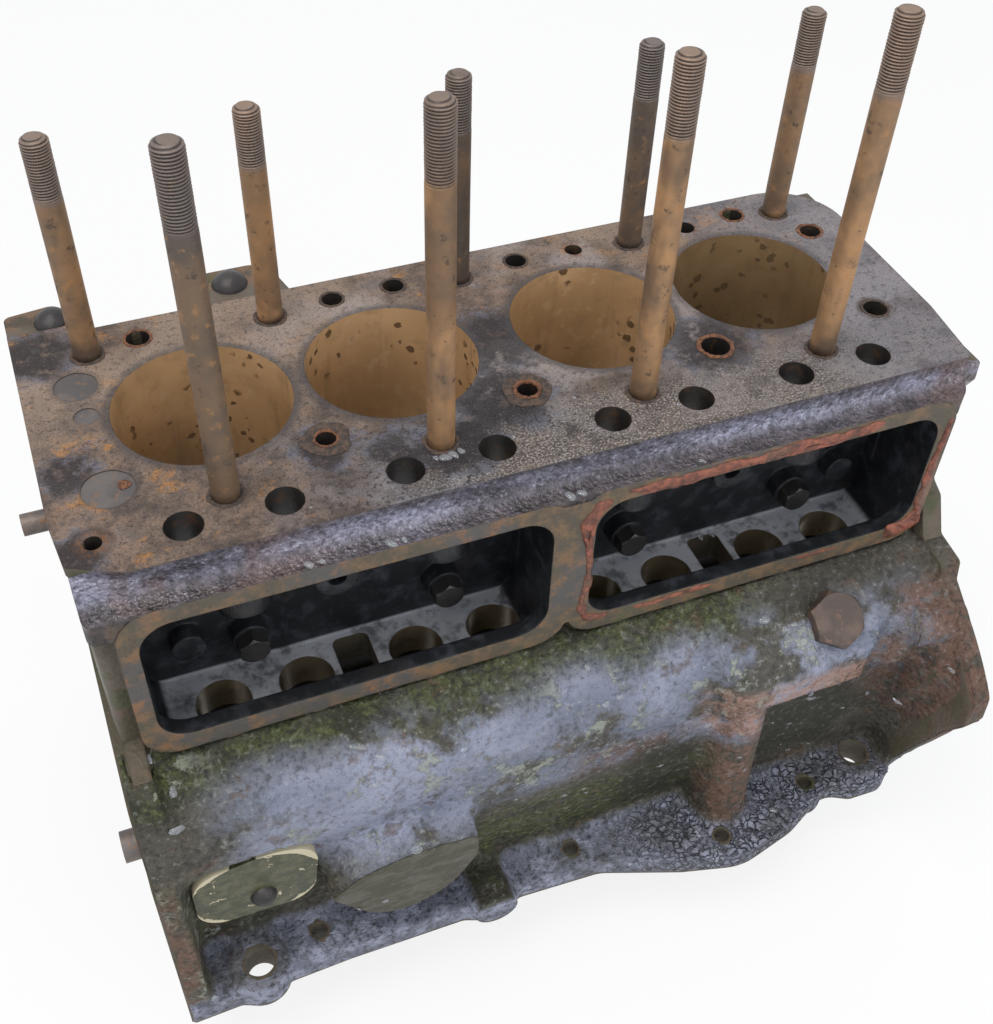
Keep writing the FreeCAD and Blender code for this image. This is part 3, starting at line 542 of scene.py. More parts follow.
def dress_block(block):
    block.materials.clear()
    for material in BLOCK_FINISHES:
        block.materials.append(material)
    faces = {what: np.empty(len(block.polygons) * 3) for what in ("center", "normal")}
    for what, values in faces.items():
        block.polygons.foreach_get(what, values)
    zones = block_zones(*(values.reshape(-1, 3) for values in faces.values()))
    block.polygons.foreach_set("material_index", zones.astype(np.int32))
    block.update()
    print("faces in each zone:", np.bincount(zones, minlength=len(BLOCK_FINISHES)).tolist())


dress_block(nodes["cylinder_block"].data)

# %% [markdown]
# ## Soft cast corners on the camshaft side
#
# A sand casting has no sharp inside corner: the pattern maker runs a fillet of
# leather along each one.  Modelling forty fillets by hand is slow, so a sheet
# of points is laid on the block instead, like cloth pressed on a form, and the
# corners are filled by rolling a ball over it.  The ball cannot enter a narrow
# corner, and the path of its underside is the fillet.

# %% Lay a sheet of points on the casting
TILT = math.radians(40)
OUT = np.array([0.0, -math.cos(TILT), math.sin(TILT)])
DOWN = np.array([0.0, -math.sin(TILT), -math.cos(TILT)])
ACROSS = np.array([1.0, 0.0, 0.0])
STEP = 0.9 * MM
SHEET_LIFT = 90 * MM


def press_sheet(x_span, s_span, target):
    """Heights h(x, s) at which points x*ACROSS + s*DOWN + h*OUT first meet the target.

    A flat grid hangs SHEET_LIFT above the target and a Shrinkwrap modifier drops
    it straight along -OUT; points that find nothing stay where they were.
    """
    xs = np.arange(x_span[0], x_span[1] + STEP / 2, STEP)
    ss = np.arange(s_span[0], s_span[1] + STEP / 2, STEP)
    flat = np.zeros((len(xs), len(ss), 3))
    flat[..., 0], flat[..., 1] = xs[:, None], ss[None, :]
    mesh = bpy.data.meshes.new("sheet")
    mesh.from_pydata(flat.reshape(-1, 3).tolist(), [], [])
    sheet = put("sheet", mesh)
    turn = np.eye(4)
    turn[:3] = np.stack([ACROSS, DOWN, OUT, OUT * SHEET_LIFT], 1)
    sheet.matrix_world = Matrix(turn.tolist())
    drop = sheet.modifiers.new("drop", "SHRINKWRAP")
    drop.wrap_method, drop.target = "PROJECT", target
    drop.use_project_z, drop.use_negative_direction, drop.use_positive_direction = True, True, False
    graph = bpy.context.evaluated_depsgraph_get()
    result = sheet.evaluated_get(graph).to_mesh()
    z = np.empty(len(result.vertices) * 3)
    result.vertices.foreach_get("co", z)
    heights = z.reshape(len(xs), len(ss), 3)[..., 2]
    bpy.data.objects.remove(sheet)
    return xs, ss, heights + SHEET_LIFT, heights > -1e-6


def rolled(h, radius, sign):
    """The upper (+1) or lower (-1) envelope of a ball of that radius rolled over h."""
    reach = int(radius / STEP)
    out = np.full_like(h, -np.inf)
    padded = np.pad(sign * h, reach, mode="edge")
    for i in range(-reach, reach + 1):
        for j in range(-reach, reach + 1):
            square = radius ** 2 - (i * i + j * j) * STEP ** 2
            if square >= 0:
                part = padded[reach + i: reach + i + h.shape[0], reach + j: reach + j + h.shape[1]]
                out = np.maximum(out, part + math.sqrt(square) - radius)
    return sign * out


def four_sides(grid, **padding):
    """The neighbours above, below, left and right of every point of a grid."""
    wide = np.pad(grid, 1, **padding)
    return wide[:-2, 1:-1], wide[2:, 1:-1], wide[1:-1, :-2], wide[1:-1, 2:]


# %% Cast skin of the camshaft side
FLANGE_HOLES = [(x * MM, y * MM, d * MM / 2) for x, y, d in (
    (-110, -96, 6.6), (3, -98, 6.6), (68.5, -116, 6.6), (117.5, -105.5, 6.6),
    (-136.5, -101, 12.4), (147, -99.5, 12.4))]
HOLE_PLAY = 0.35 * MM
SKIN_X, SKIN_S = (-167.0 * MM, 167.4 * MM), (112 * MM, 258 * MM)
SKIN_TOP, SKIN_BACK = -84.2 * MM, -66 * MM
SKIN_LIFT = 0.3 * MM
EDGE_TUCK = 0.4 * MM          # the sheet's border dips into the iron, so no seam shows
BOX_MARGIN = 0.02 * MM
FILLET = 6.5 * MM
SCALLOP, SCALLOP_WIDTH = 2.6 * MM, 9.5
WAVES, LUMPS, CRUMBS = 1.5 * MM, 0.55 * MM, 0.9 * MM


def side_skin():
    """Points x*ACROSS + s*DOWN + h*OUT, with h the rolled closing of the pressed sheet.

    Closing is the upper envelope followed by the lower one with the same ball.
    Added to it are a scallop under the rims at each tappet guide, broad waves,
    small lumps, and crumbs on the flange, all from noise.
    """
    xs, ss, h, missed = press_sheet(SKIN_X, SKIN_S, nodes["cylinder_block"])

    def laid(heights):
        return (xs[:, None, None] * ACROSS + ss[None, :, None] * DOWN
                + heights[..., None] * OUT)

    place = laid(h)
    wall = (place[..., 2] < SKIN_TOP) & ~missed & (place[..., 1] < SKIN_BACK)
    hole = np.zeros_like(wall)
    for x, y, r in FLANGE_HOLES:
        hole |= np.hypot(place[..., 0] - x, place[..., 1] - y) < r + HOLE_PLAY
    kept = wall & ~(hole & (place[..., 2] < SUMP + 20 * MM))
    ground = np.where(kept, h, h[wall].min() - 0.03)
    closed = np.maximum(rolled(rolled(ground, FILLET, +1), FILLET, -1), ground)
    soft = closed.copy()
    for _ in range(3):
        soft = (soft * 4 + sum(four_sides(soft, mode="edge"))) / 8
    soft = np.maximum(soft, closed)

    across, height = place[..., 0] / MM, place[..., 2] / MM
    swell = sum(np.exp(-((across - x / MM) / SCALLOP_WIDTH) ** 2) for x, y in GUIDES)
    soft = soft + ramp(height, -124, -110) * ramp(height, -86, -91) * swell * SCALLOP
    broad = value_noise(soft.shape, (15, 7), 8) + 0.6 * value_noise(soft.shape, (34, 15), 9)
    boss = (place[..., 1] < -109.5 * MM) & (across < -44) & (across > -108) & (height > -192)
    clear = ramp(height, -206, -200) * ramp(height, -90, -98) * np.where(boss, 0.1, 1.0)
    soft = soft + broad * clear * WAVES
    lumps = value_noise(soft.shape, (75, 32), 3) + 0.7 * value_noise(soft.shape, (190, 80), 4)
    soft = soft + SKIN_LIFT + (lumps / 1.7) * LUMPS
    above_sump = place[..., 2] - SUMP
    on_flange = (above_sump > 11.0 * MM) & (above_sump < 14.5 * MM)
    crumbs = 1 - np.abs(value_noise(soft.shape, (150, 66), 5) - 0.5) * 2
    rearward = 0.25 + 0.75 * ramp(across, 35, 65)
    soft = soft + on_flange * rearward * crumbs ** 2 * CRUMBS

    inner = np.all(four_sides(kept), axis=0)
    place = laid(np.where(kept & ~inner, h - EDGE_TUCK, soft))
    return np.clip(place, np.array(cad_low) + BOX_MARGIN, np.array(cad_high) - BOX_MARGIN), kept


def flange_coats(f, mottle, patches, grains):
    """Coats of the bottom flange: blue-grey crust, split into flakes towards the rear."""
    flange = f.z.past(SUMP / MM + 17.0, SUMP / MM + 13.2)
    crust = f.coats(
        f.mix(mottle.rise(0.42, 0.62), (0.14, 0.147, 0.188), (0.29, 0.305, 0.39)),
        (patches.rise(0.5, 0.62) * 0.5, (0.06, 0.058, 0.052)),
        (f.x.past(0, 60) * grains.rise(0.5, 0.6) * 0.6, (0.25, 0.25, 0.28)))
    bent = f.node("ShaderNodeVectorMath", {"operation": "MULTIPLY_ADD"}, {
        0: f.noise(160.0, 2.0, 0.5, out=1), 1: (0.008, 0.008, 0.008), 2: f.place})
    cracks = f.cells(300.0, "DISTANCE_TO_EDGE", bent).rise(0.0, 0.16)
    split = (1.0 - cracks) * flange * f.x.past(0, 70) * mottle.rise(0.36, 0.56)
    return flange, crust, split


def skin_finish():
    f = Finish("weathered_cast_skin")
    wander = (f.noise(40, 4, 0.6) - 0.5) * (18 * MM)
    mottle, patches, grains, fine = f.noises((140, 5, 0.66), (34, 4, 0.6),
                                             (420, 3, 0.7), (900, 3, 0.65))
    x, y, z = f.x + wander, f.y, f.z + wander * 0.7

    def field(x_low, x_high, x_soft, z_low, z_high, z_soft):
        """1 over an upright rectangle given in mm, fading out over the soft widths."""
        return x.within(x_low, x_high, x_soft) * z.within(z_low, z_high, z_soft)

    # moss and grime under the rims and on the middle wall
    moss = z.within(-97, -84, 6) * x.past(100, 60)
    moss = moss.most(field(-50, 64, 20, -204, -160, 9))
    moss = moss.most(z.within(-200, -130, 10) * x.past(-90, -140) * 0.6)
    moss = moss * mottle.rise(0.32, 0.54)
    green = f.mix(grains.rise(0.4, 0.6), (0.03, 0.038, 0.008), (0.07, 0.084, 0.022))
    grime = f.noise(52, 5, 0.65).rise(0.48, 0.6) * (0.35 + 0.65 * moss)
    # the wet bulge, with a painted blue-grey sheen standing in for reflected sky
    bulge = field(-135, 150, 15, -148, -95, 7)
    # bloom is the tone of the painted sheen, a light blue-grey
    bloom = f.mix(f.noise(18, 3, 0.6).rise(0.4, 0.62), (0.165, 0.185, 0.25), (0.29, 0.312, 0.41))
    # a little more painted sheen across the middle of the bulge
    middle_part = x.within(-55, 50, 20) * 0.05
    sheen = bulge * (patches * 0.6 + f.noise(17, 4, 0.6) * 0.4 + middle_part).rise(0.43, 0.53)
    pale = bulge.most(x.past(-130, -150)) * f.noise(58, 6, 0.75).rise(0.55, 0.6)
    # pinkish rust
    shelf = field(54, 125, 10, -142, -113, 4)
    pink = field(54, 165, 10, -140, -114, 4)
    pink = pink.most(field(62, 86, 6, -205, -125, 8))
    pink = pink.most(x.past(130, 150) * z.within(-172, -88, 10))
    pink = pink.most(field(0, 50, 15, -150, -133, 5) * 0.7)
    pink = pink * y.past(-90, -98)
    pink = pink.most(x.past(-157, -163) * z.past(-120, -150))
    pitted = f.noise(70, 5, 0.7).rise(0.57, 0.66)
    # painted shade: the recesses beside the rib are darkened where little light reaches
    recess_shade = field(26, 56, 9, -200, -142, 7).most(field(92, 138, 9, -196, -146, 6))
    # the machined face of the cut-off round boss
    face = f.y.past(-110.9, -111.3) * f.x.past(-43, -45)
    face = face * f.x.past(-109, -107) * f.z.past(-194, -191)
    scored = f.noise(260, 3, 0.6, stretch=(0.25, 1.0, 1.0))
    flange, crust, split = flange_coats(f, mottle, patches, grains)
    colour = f.coats(
        f.mix(patches.rise(0.4, 0.6), (0.052, 0.048, 0.036), (0.088, 0.08, 0.064)),
        (mottle.rise(0.54, 0.68) * 0.45, (0.165, 0.145, 0.112)),
        (moss * 0.88, green),
        (grime * 0.75, (0.018, 0.017, 0.013)),
        (bulge * 0.5, (0.085, 0.078, 0.066)),
        # painted sheen: light blue-grey where the wet bulge would reflect the sky
        (sheen * 0.92, bloom),
        (bulge * mottle.rise(0.43, 0.35) * 0.5, (0.04, 0.042, 0.05)),
        (pale * 0.7, (0.31, 0.33, 0.265)),
        (pink * mottle.rise(0.34, 0.54) * 0.85,
         f.mix(shelf, (0.15, 0.08, 0.056), (0.33, 0.18, 0.128))),
        (pitted * 0.6, (0.105, 0.06, 0.038)),
        # painted shade in the recesses beside the rib
        (recess_shade * mottle.rise(0.3, 0.5) * 0.75, (0.018, 0.019, 0.01)),
        (flange, crust),
        (split * 0.85, (0.014, 0.014, 0.015)),
        (face, f.mix(scored.rise(0.44, 0.6), (0.07, 0.066, 0.046), (0.105, 0.098, 0.076))),
        (grains.rise(0.5, 0.34) * (0.7 - face * 0.55 - sheen * 0.4), (0.02, 0.019, 0.018)),
        (grains.rise(0.56, 0.7) * (0.3 + bulge * 0.25 - face * 0.2), (0.33, 0.34, 0.35)))
    wet = (bulge * 0.6 + flange * 0.25 + f.noise(30, 4, 0.6)).rise(0.8, 1.04) * (1.0 - face)
    rough = 0.66 - wet * 0.5 - moss * 0.05
    height = (mottle * 0.9 + grains * 0.9 + fine * 0.35 - pitted * 0.4) * (1.0 - face * 0.8)
    return f.finish(colour, rough, metallic=0.05, height=height - split * 1.2 + pale * 0.35,
                    relief=0.0011, gloss=0.32)


place, kept = side_skin()
mesh_piece("camshaft_side_skin", place, grid_faces(*kept.shape, keep=kept), skin_finish())

# %% [markdown]
# ## Threads on the head studs
#
# Each stud ends in a fine thread of 24 turns to the inch.  A stud is a surface
# of revolution whose radius also depends on the turn angle, because the thread
# climbs.  It is a function of angle and height.

# %% Stud surface
PITCH = 25.4 / 24 * MM
STUD_R = 9.525 / 2 * MM
THREAD_DEPTH = 0.66 * MM
THREAD_LENGTHS = {"long": 26.5 * MM, "short": 21.5 * MM}
RUN_OUT, TIP = 1.6 * MM, 1.5 * MM
SHARES_OF_CAP = (0.82, 0.55, 0.2)


def stud_surface(low, high, threaded, seed):
    """Radius r(a, z) = shank + wear noise, less a rounded V groove along the helix.

    The groove's depth follows the distance from the helix z = pitch * a / 2 pi.
    Three smaller rings close the tip.  The second result is the groove's share.
    """
    centre, top = (low + high) / 2, high[2]
    around = 40
    a = angles(around)[None, :]
    zs = np.concatenate([
        np.linspace(0.0, top - threaded - 1.2 * MM, 26)[:-1],
        np.arange(top - threaded - 1.2 * MM, top - 1.0 * MM, PITCH / 9),
        np.linspace(top - 1.0 * MM, top, 5)])[:, None]
    turn = (zs / PITCH - a / (2 * np.pi)) % 1.0
    groove = ramp(zs, top - threaded, top - threaded + RUN_OUT) * np.abs(turn * 2 - 1) ** 1.3
    shape = len(zs), around
    worn = 0.25 + 0.75 * value_noise(shape, (9, 5), seed)
    r = STUD_R - groove * THREAD_DEPTH * np.minimum(1.0, 0.55 + worn)
    r = r - (value_noise(shape, (26, 9), seed + 40) - 0.2) * 0.1 * MM
    r = r - ramp(zs, top - TIP, top) ** 1.6 * TIP
    points = np.stack([centre[0] + r * np.cos(a), centre[1] + r * np.sin(a), zs + 0 * a], -1)
    cap = centre + (points[-1] - centre) * np.array(SHARES_OF_CAP)[:, None, None]
    cap[..., 2] = top - 0.05 * MM
    return np.concatenate([points, cap]), np.concatenate([groove, np.zeros(cap.shape[:2])])


def stud_finish():
    f = Finish("rusted_stud")
    mottle, patches, grain = f.noises((220, 5, 0.65), (45, 3, 0.6), (1500, 2, 0.6))
    tint = f.noise(9, 2, 0.5, stretch=(1.0, 1.0, 0.25)).rise(0.42, 0.58)
    dull = f.mix(patches.rise(0.38, 0.62), (0.175, 0.115, 0.072), (0.105, 0.082, 0.066))
    warm = f.mix(patches.rise(0.38, 0.62), (0.42, 0.235, 0.11), (0.27, 0.165, 0.09))
    foot = f.z.past(14, 3)
    long_top, short_top = f.z.past(99, 103), f.z.within(64, 89, 1.5)
    top = long_top.most(short_top * f.y.past(0, 20))
    groove = f.node("ShaderNodeAttribute", {"attribute_name": "groove"}, {}, out=2)
    smut = f.noise(30, 4, 0.65, stretch=(1.0, 1.0, 0.4)).rise(0.52, 0.62)
    colour = f.coats(
        f.mix(tint, dull, warm),
        (mottle.rise(0.56, 0.7) * 0.6, (0.42, 0.21, 0.08)),
        (mottle.rise(0.42, 0.32) * 0.7, (0.055, 0.042, 0.034)),
        (foot * patches.rise(0.35, 0.6) * 0.8, (0.085, 0.06, 0.045)),
        (top * 0.7, f.mix(mottle, (0.23, 0.19, 0.178), (0.1, 0.082, 0.074))),
        # painted shade in the thread grooves
        (groove.rise(0.35, 0.75) * 0.88, (0.022, 0.017, 0.016)),
        (smut * 0.45, (0.07, 0.05, 0.04)))
    return f.finish(colour, 0.62 - top * 0.12, metallic=0.35, height=mottle + grain * 0.4,
                    relief=0.0003)


STUD_FINISH = stud_finish()
studs = sorted(name for name in nodes if name.startswith("head_stud"))
for count, name in enumerate(studs):
    low, high = (np.array(corner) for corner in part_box(name))
    rings, depth = stud_surface(low, high, THREAD_LENGTHS[name.split("_")[2]], 10 + count)
    piece = tube_piece(name + "_threaded", rings, STUD_FINISH)
    layer = piece.data.attributes.new("groove", "FLOAT", "POINT")
    layer.data.foreach_set("value", depth.ravel())
    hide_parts(name)

# %% [markdown]
# ## Old jointing compound on the rear chest
#
# The cover of the rear tappet chest was bedded in red compound.  Scraped once,
# it is left as broken beads round the joint face.  A bead is a half-round
# section carried along a rounded rectangle; noise sets its width and height.

# %% Beads along the joint face
RIM_X, RIM_Z = (4.2 * MM, 153.6 * MM), (-80.4 * MM, -14.2 * MM)
RIM_CORNER = 9.0 * MM


def round_the_rim(u, inset):
    """Point at share u of a rounded rectangle's length, clockwise from the top left.

    Each side is walked straight and each corner is a quarter circle; inset moves
    the path towards the opening.
    """
    x0, x1 = RIM_X[0] + inset + RIM_CORNER, RIM_X[1] - inset - RIM_CORNER
    z0, z1 = RIM_Z[0] + inset + RIM_CORNER, RIM_Z[1] - inset - RIM_CORNER
    sides, arc = (x1 - x0, z1 - z0), math.pi / 2 * RIM_CORNER
    s = u * (2 * sum(sides) + 4 * arc)
    x, z, walked = np.zeros_like(s), np.zeros_like(s), 0.0
    for k, (corner_x, corner_z) in enumerate(((x1, z1), (x1, z0), (x0, z0), (x0, z1))):
        facing = math.pi / 2 * (1 - k)
        past = s - walked - sides[k % 2]
        back, angle = np.minimum(past, 0), facing - np.maximum(past, 0) / RIM_CORNER
        here = s >= walked
        x = np.where(here, corner_x + RIM_CORNER * np.cos(angle) + back * math.sin(facing), x)
        z = np.where(here, corner_z + RIM_CORNER * np.sin(angle) - back * math.cos(facing), z)
        walked = walked + sides[k % 2] + arc
    return x, z


def bead(u0, u1, inset, width, height, seed):
    """Closed half-round section over (share of the rim, angle), with ragged width and height.

    The front half of the angle stands proud by height * sin v; the back half dips
    a little way into the iron.
    """
    rows, columns = max(24, int((u1 - u0) * 900)), 16
    u = np.linspace(u0, u1, rows)[:, None]
    v = angles(columns)[None, :]
    ends = np.clip(np.minimum(u - u0, u1 - u) / 0.012, 0.02, 1) ** 0.5
    cells = max(3, int((u1 - u0) * 110))
    ragged = 0.45 + 0.9 * value_noise((rows, 1), (cells, 1), seed)
    wander = (value_noise((rows, 1), (cells // 3 + 1, 1), seed + 1) - 0.5) * width * 0.7
    half = width / 2 * ragged * ends
    x, z = round_the_rim(u + 0 * v, inset + wander - half * np.cos(v))
    lump = 0.55 + 0.9 * value_noise((rows, columns), (cells * 3, 4), seed + 2)
    proud = np.where(np.sin(v) > 0, height * lump * ends, 0.25 * MM)
    return np.stack([x, CHEST_FACE - proud * np.sin(v) + 0.02 * MM, z], -1)


def jointing_finish():
    f = Finish("old_red_jointing")
    mottle, patches = f.noises((260, 5, 0.7), (60, 4, 0.6))
    colour = f.coats(
        f.mix(mottle.rise(0.4, 0.62), (0.12, 0.04, 0.026), (0.27, 0.085, 0.048)),
        (patches.rise(0.52, 0.64) * 0.7, (0.095, 0.052, 0.032)),
        (mottle.rise(0.4, 0.32) * 0.8, (0.03, 0.018, 0.014)))
    return f.finish(colour, 0.55 - patches.rise(0.5, 0.7) * 0.2, height=mottle, relief=0.0006)


JOINTING = jointing_finish()
BEADS = (      # from and to (shares of the rim), inset, width and height in mm
    (0.015, 0.265, 0.2, 4.42, 0.9), (0.02, 0.24, 2.2, 2.21, 0.6), (0.345, 0.48, -0.8, 3.9, 1),
    (0.455, 0.51, 0.2, 5.72, 1.3), (0.7, 0.79, 1.6, 2.47, 0.7), (0.815, 0.985, 2, 2.86, 0.8),
    (0.93, 0.996, 0.6, 3.9, 1), (0.56, 0.61, 2.4, 1.56, 0.5))
for count, (u0, u1, *sizes) in enumerate(BEADS):
    points = bead(u0, u1, *(size * MM for size in sizes), 21 + count)
    piece = tube_piece("red_jointing_%d" % (count + 1), points, JOINTING)
    if count == 0:
        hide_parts("chest_gasket_rear")

# %% [markdown]
# ## Crusts of rust round the holes and stud feet
#
# Water sat longest at the edges of the holes, and rust grew there in low rings.
# A ring is a surface over (angle, distance from the hole), raised by noise.


# %% Rings of crust
def joined(noise, a):
    """Noise round a full turn, blended with its mirror image so that its ends meet."""
    return noise * np.cos(a / 2) ** 2 + noise[::-1] * np.sin(a / 2) ** 2


def crust_piece(name, centre, inner, outer, height, material, seed):
    """A closed loop of section angle w is carried round the hole by angle a.

    Distance from the hole = (1 - cos w) / 2 of the width; height = sin w times
    lumpy noise above the iron, and a shallow dip below it.
    """
    around, across = 72, 14
    a, w = angles(around)[:, None], angles(across)[None, :]
    edge = joined(value_noise((around, 1), (17, 1), seed), a)
    lump = joined(value_noise((around, across), (40, 4), seed + 1), a)
    reach = inner + (outer - inner) * (1 - np.cos(w)) / 2 * (0.7 + 0.35 * edge)
    hump = np.clip(np.sin(w), 0, 1) ** 0.7 * height * (0.25 + lump)
    rise = hump + np.minimum(np.sin(w), 0) * 0.3 * MM
    points = np.stack([centre[0] + reach * np.cos(a), centre[1] + reach * np.sin(a), rise], -1)
    mesh_piece(name, points, grid_faces(around, across, True, True), material)


def crust_finish(name, base, light):
    f = Finish(name)
    mottle = f.noise(520, 4, 0.7)
    colour = f.coats(f.mix(mottle.rise(0.4, 0.6), base, light),
                     (f.noise(180, 3, 0.6).rise(0.55, 0.66) * 0.7, (0.022, 0.016, 0.014)))
    return f.finish(colour, 0.75, height=mottle, relief=0.0005)


DARK = crust_finish("dark_rust_crust", (0.034, 0.026, 0.023), (0.095, 0.058, 0.04))
RED = crust_finish("red_rust_crust", (0.08, 0.03, 0.016), (0.21, 0.085, 0.036))
RUSTY_PLACES = WATER_HOLES + [(-141.8 * MM, -31.0 * MM)]       # the last lies on a deck plug
RINGS = (      # number in RUSTY_PLACES, inner and outer radius and height in mm, finish
    (8, 4.1, 9.2, 0.7, DARK), (9, 5, 9.6, 0.9, DARK), (9, 3.7, 5.6, 1.3, RED),
    (8, 3.5, 4.8, 0.9, RED), (10, 5.4, 7.4, 0.6, RED), (7, 4.2, 5.8, 0.5, RED),
    (6, 4.1, 5.4, 0.5, RED), (0, 4.3, 5.6, 0.5, RED), (11, 4.6, 5.8, 0.4, DARK),
    (2, 4, 5.6, 0.5, DARK), (3, 4.1, 5.4, 0.4, DARK), (1, 3.9, 5.2, 0.4, DARK),
    (13, 0.3, 2.6, 0.3, RED))
for count, (number, inner, outer, height, material) in enumerate(RINGS):
    crust_piece("rust_ring_%d" % (count + 1), RUSTY_PLACES[number], inner * MM, outer * MM,
                height * MM, material, 60 + 3 * count)
for count, name in enumerate(studs):
    crust_piece("stud_foot_crust_%d" % (count + 1), middle(name), 4.7 * MM, 6.6 * MM,
                0.55 * MM, DARK, 120 + 3 * count)

# %% [markdown]
# ## Water that still lies on the casting
#
# Rain stands in beads on the oily iron.  A drop is half an ellipsoid with its
# long side down the slope, and only a few dozen faces.

# %% Drops
DROP_GRID = (12, 5)
DROP_HEIGHT, DROP_SINK = 0.42, 0.05


def drop(place, normal, size, seed):
    """Points over (angle a, height angle b) in a local frame of side, along and normal.

    Place + side * wide cos b cos a + along * far cos b sin a + normal * (0.42 sin b
    - 0.05) * size, with cos b swelled by a few random waves of a.
    """
    rng = np.random.default_rng(seed)
    normal = np.array(normal) / np.linalg.norm(normal)
    side = np.cross(normal, (0.3, 0.1, 1.0))
    side /= np.linalg.norm(side)
    along = np.cross(normal, side)
    a = angles(DROP_GRID[0])[:, None, None]
    b = np.linspace(0, 0.44 * np.pi, DROP_GRID[1])[None, :, None]
    wide, far = size * rng.uniform(0.8, 1.5), size * rng.uniform(0.6, 1.0)
    lobe = 1 + 0.18 * np.sin(2 * a + rng.uniform(0, 6)) + 0.1 * np.sin(3 * a + rng.uniform(0, 6))
    flat = lobe * np.cos(b)
    return (place + side * flat * wide * np.cos(a) + along * flat * far * np.sin(a)
            + normal * (np.sin(b) * DROP_HEIGHT - DROP_SINK) * size)


def drop_finish():
    f = Finish("standing_water")
    f.shader.inputs["Transmission Weight"].default_value = 0.82
    f.shader.inputs["IOR"].default_value = 1.33
    # painted highlight: the clear water gets a whitish blue base colour, so the drops read as bright
    # glints
    painted_glint = f.noise(900, 2, 0.5).rise(0.44, 0.56)
    return f.finish(f.mix(painted_glint, (0.8, 0.86, 0.95), (1.0, 1.0, 1.0)), 0.03, gloss=1.0)


WATER = drop_finish()


def many_drops(name, places, sizes, seed, normals=(0, 0, 1)):
    """One piece of drops; normals is one direction for all of them, or one each."""
    normals = np.broadcast_to(normals, places.shape)
    grids = np.stack([drop(p, n, s, seed + k) for k, (p, n, s) in enumerate(
        zip(places, normals, sizes))])
    numbers = np.arange(grids[..., 0].size).reshape(grids.shape[:3])
    quads = grid_faces(*DROP_GRID, close_rows=True)[:, ::-1]
    quads = (quads[None] + numbers[:, :1, :1]).reshape(-1, 4)
    ends = [*numbers[:, ::-1, 0], *numbers[:, :, -1]]
    return mesh_piece(name, grids, quads, WATER, ends=ends)


# %% Drops on the level places
DECK_DROPS = np.array((        # x, y and size in mm
    (-39.5, -54.6, 2.3), (-36.5, -54, 1.9), (-33.4, -53.4, 1.5), (-42.5, -53.8, 1.2),
    (14, -41, 0.9), (-14, -53, 0.8), (-88, -62, 0.7), (47, -57, 0.9))) * MM
COVE_DROPS = np.array((        # x and size in mm
    (-93.5, 1.9), (-89, 1.3), (-66, 2), (-61.5, 1.4), (-2.5, 2.4), (2, 1.6),
    (48.0, 1.2))) * MM
COVE_LINE = (-76.2 * MM, -10.65 * MM)          # y and z of the cove's edge

rng = np.random.default_rng(7)
ledge = np.stack([np.concatenate([rng.uniform(-148, -12, 14), rng.uniform(12, 148, 14)]),
                  rng.uniform(-74.0, -71.0, 28), np.full(28, -89.0)], 1) * MM
many_drops("drops_on_ledge", ledge, rng.uniform(0.7, 1.7, 28) * MM, 300)
behind = ledge[::2] * (1, 0, 1) + (0, -46.5 * MM, 0)
many_drops("drops_behind_guides", behind, rng.uniform(0.8, 1.9, 14) * MM, 350)
many_drops("drops_on_deck", DECK_DROPS * (1, 1, 0), DECK_DROPS[:, 2], 400)
in_cove = np.array([(x, *COVE_LINE) for x in COVE_DROPS[:, 0]])
many_drops("drops_in_cove", in_cove, COVE_DROPS[:, 1], 450, normals=(0, -0.1, 1))

# %% Drops on the cast side
LARGE_DROPS = ((-85.9, -95.7, 2.6), (-79.1, -101.1, 1.7), (-71.4, -145.3, 2.7), (-151.5, -94.1, 2),
               (-153.6, -104.3, 2.6), (6.1, -94.5, 1.8), (81.7, -94.8, 1.8), (88.8, -97.1, 1.4),
               (154, -163.6, 2.2), (16, -105, 1.4))       # x, z and size in mm
slope = np.gradient(place, axis=0), np.gradient(place, axis=1)
outward = np.cross(slope[1], slope[0])
outward *= np.sign(outward @ OUT)[..., None]
inner = kept & (place[..., 2] < -92 * MM) & (np.abs(place[..., 0]) < 158 * MM)
inner &= place[..., 1] > -132 * MM
spots = np.argwhere(inner)[rng.choice(inner.sum(), 70, replace=False)]
sizes = rng.uniform(0.3, 1.0, 70) ** 2.5 * 2.0
for x, z, size in LARGE_DROPS:
    away = np.hypot(place[..., 0] - x * MM, place[..., 2] - z * MM)
    nearest = np.unravel_index(np.where(kept, away, 1.0).argmin(), away.shape)
    spots, sizes = np.concatenate([spots, [nearest]]), np.append(sizes, size)
rows, columns = spots.T
many_drops("drops_on_side", place[rows, columns], sizes * MM, 500, normals=outward[rows, columns])

# %% [markdown]
# ## Finishes of the small pieces
#
# The remaining nodes keep their solids and get a finish each.


# %% Small finishes
def metal_finish(name, base, second, rust, roughness, metallic, share):
    """Two tones mottled together, with rust where the noise is above share."""
    f = Finish(name)
    mottle, patches, grain = f.noises((260, 5, 0.65), (70, 3, 0.6), (1600, 2, 0.6))
    colour = f.coats(f.mix(patches.rise(0.4, 0.6), base, second),
                     (mottle.rise(share, share + 0.14) * 0.8, rust))
    return f.finish(colour, roughness + mottle * 0.15, metallic=metallic,
                    height=mottle + grain * 0.5, relief=0.0003)


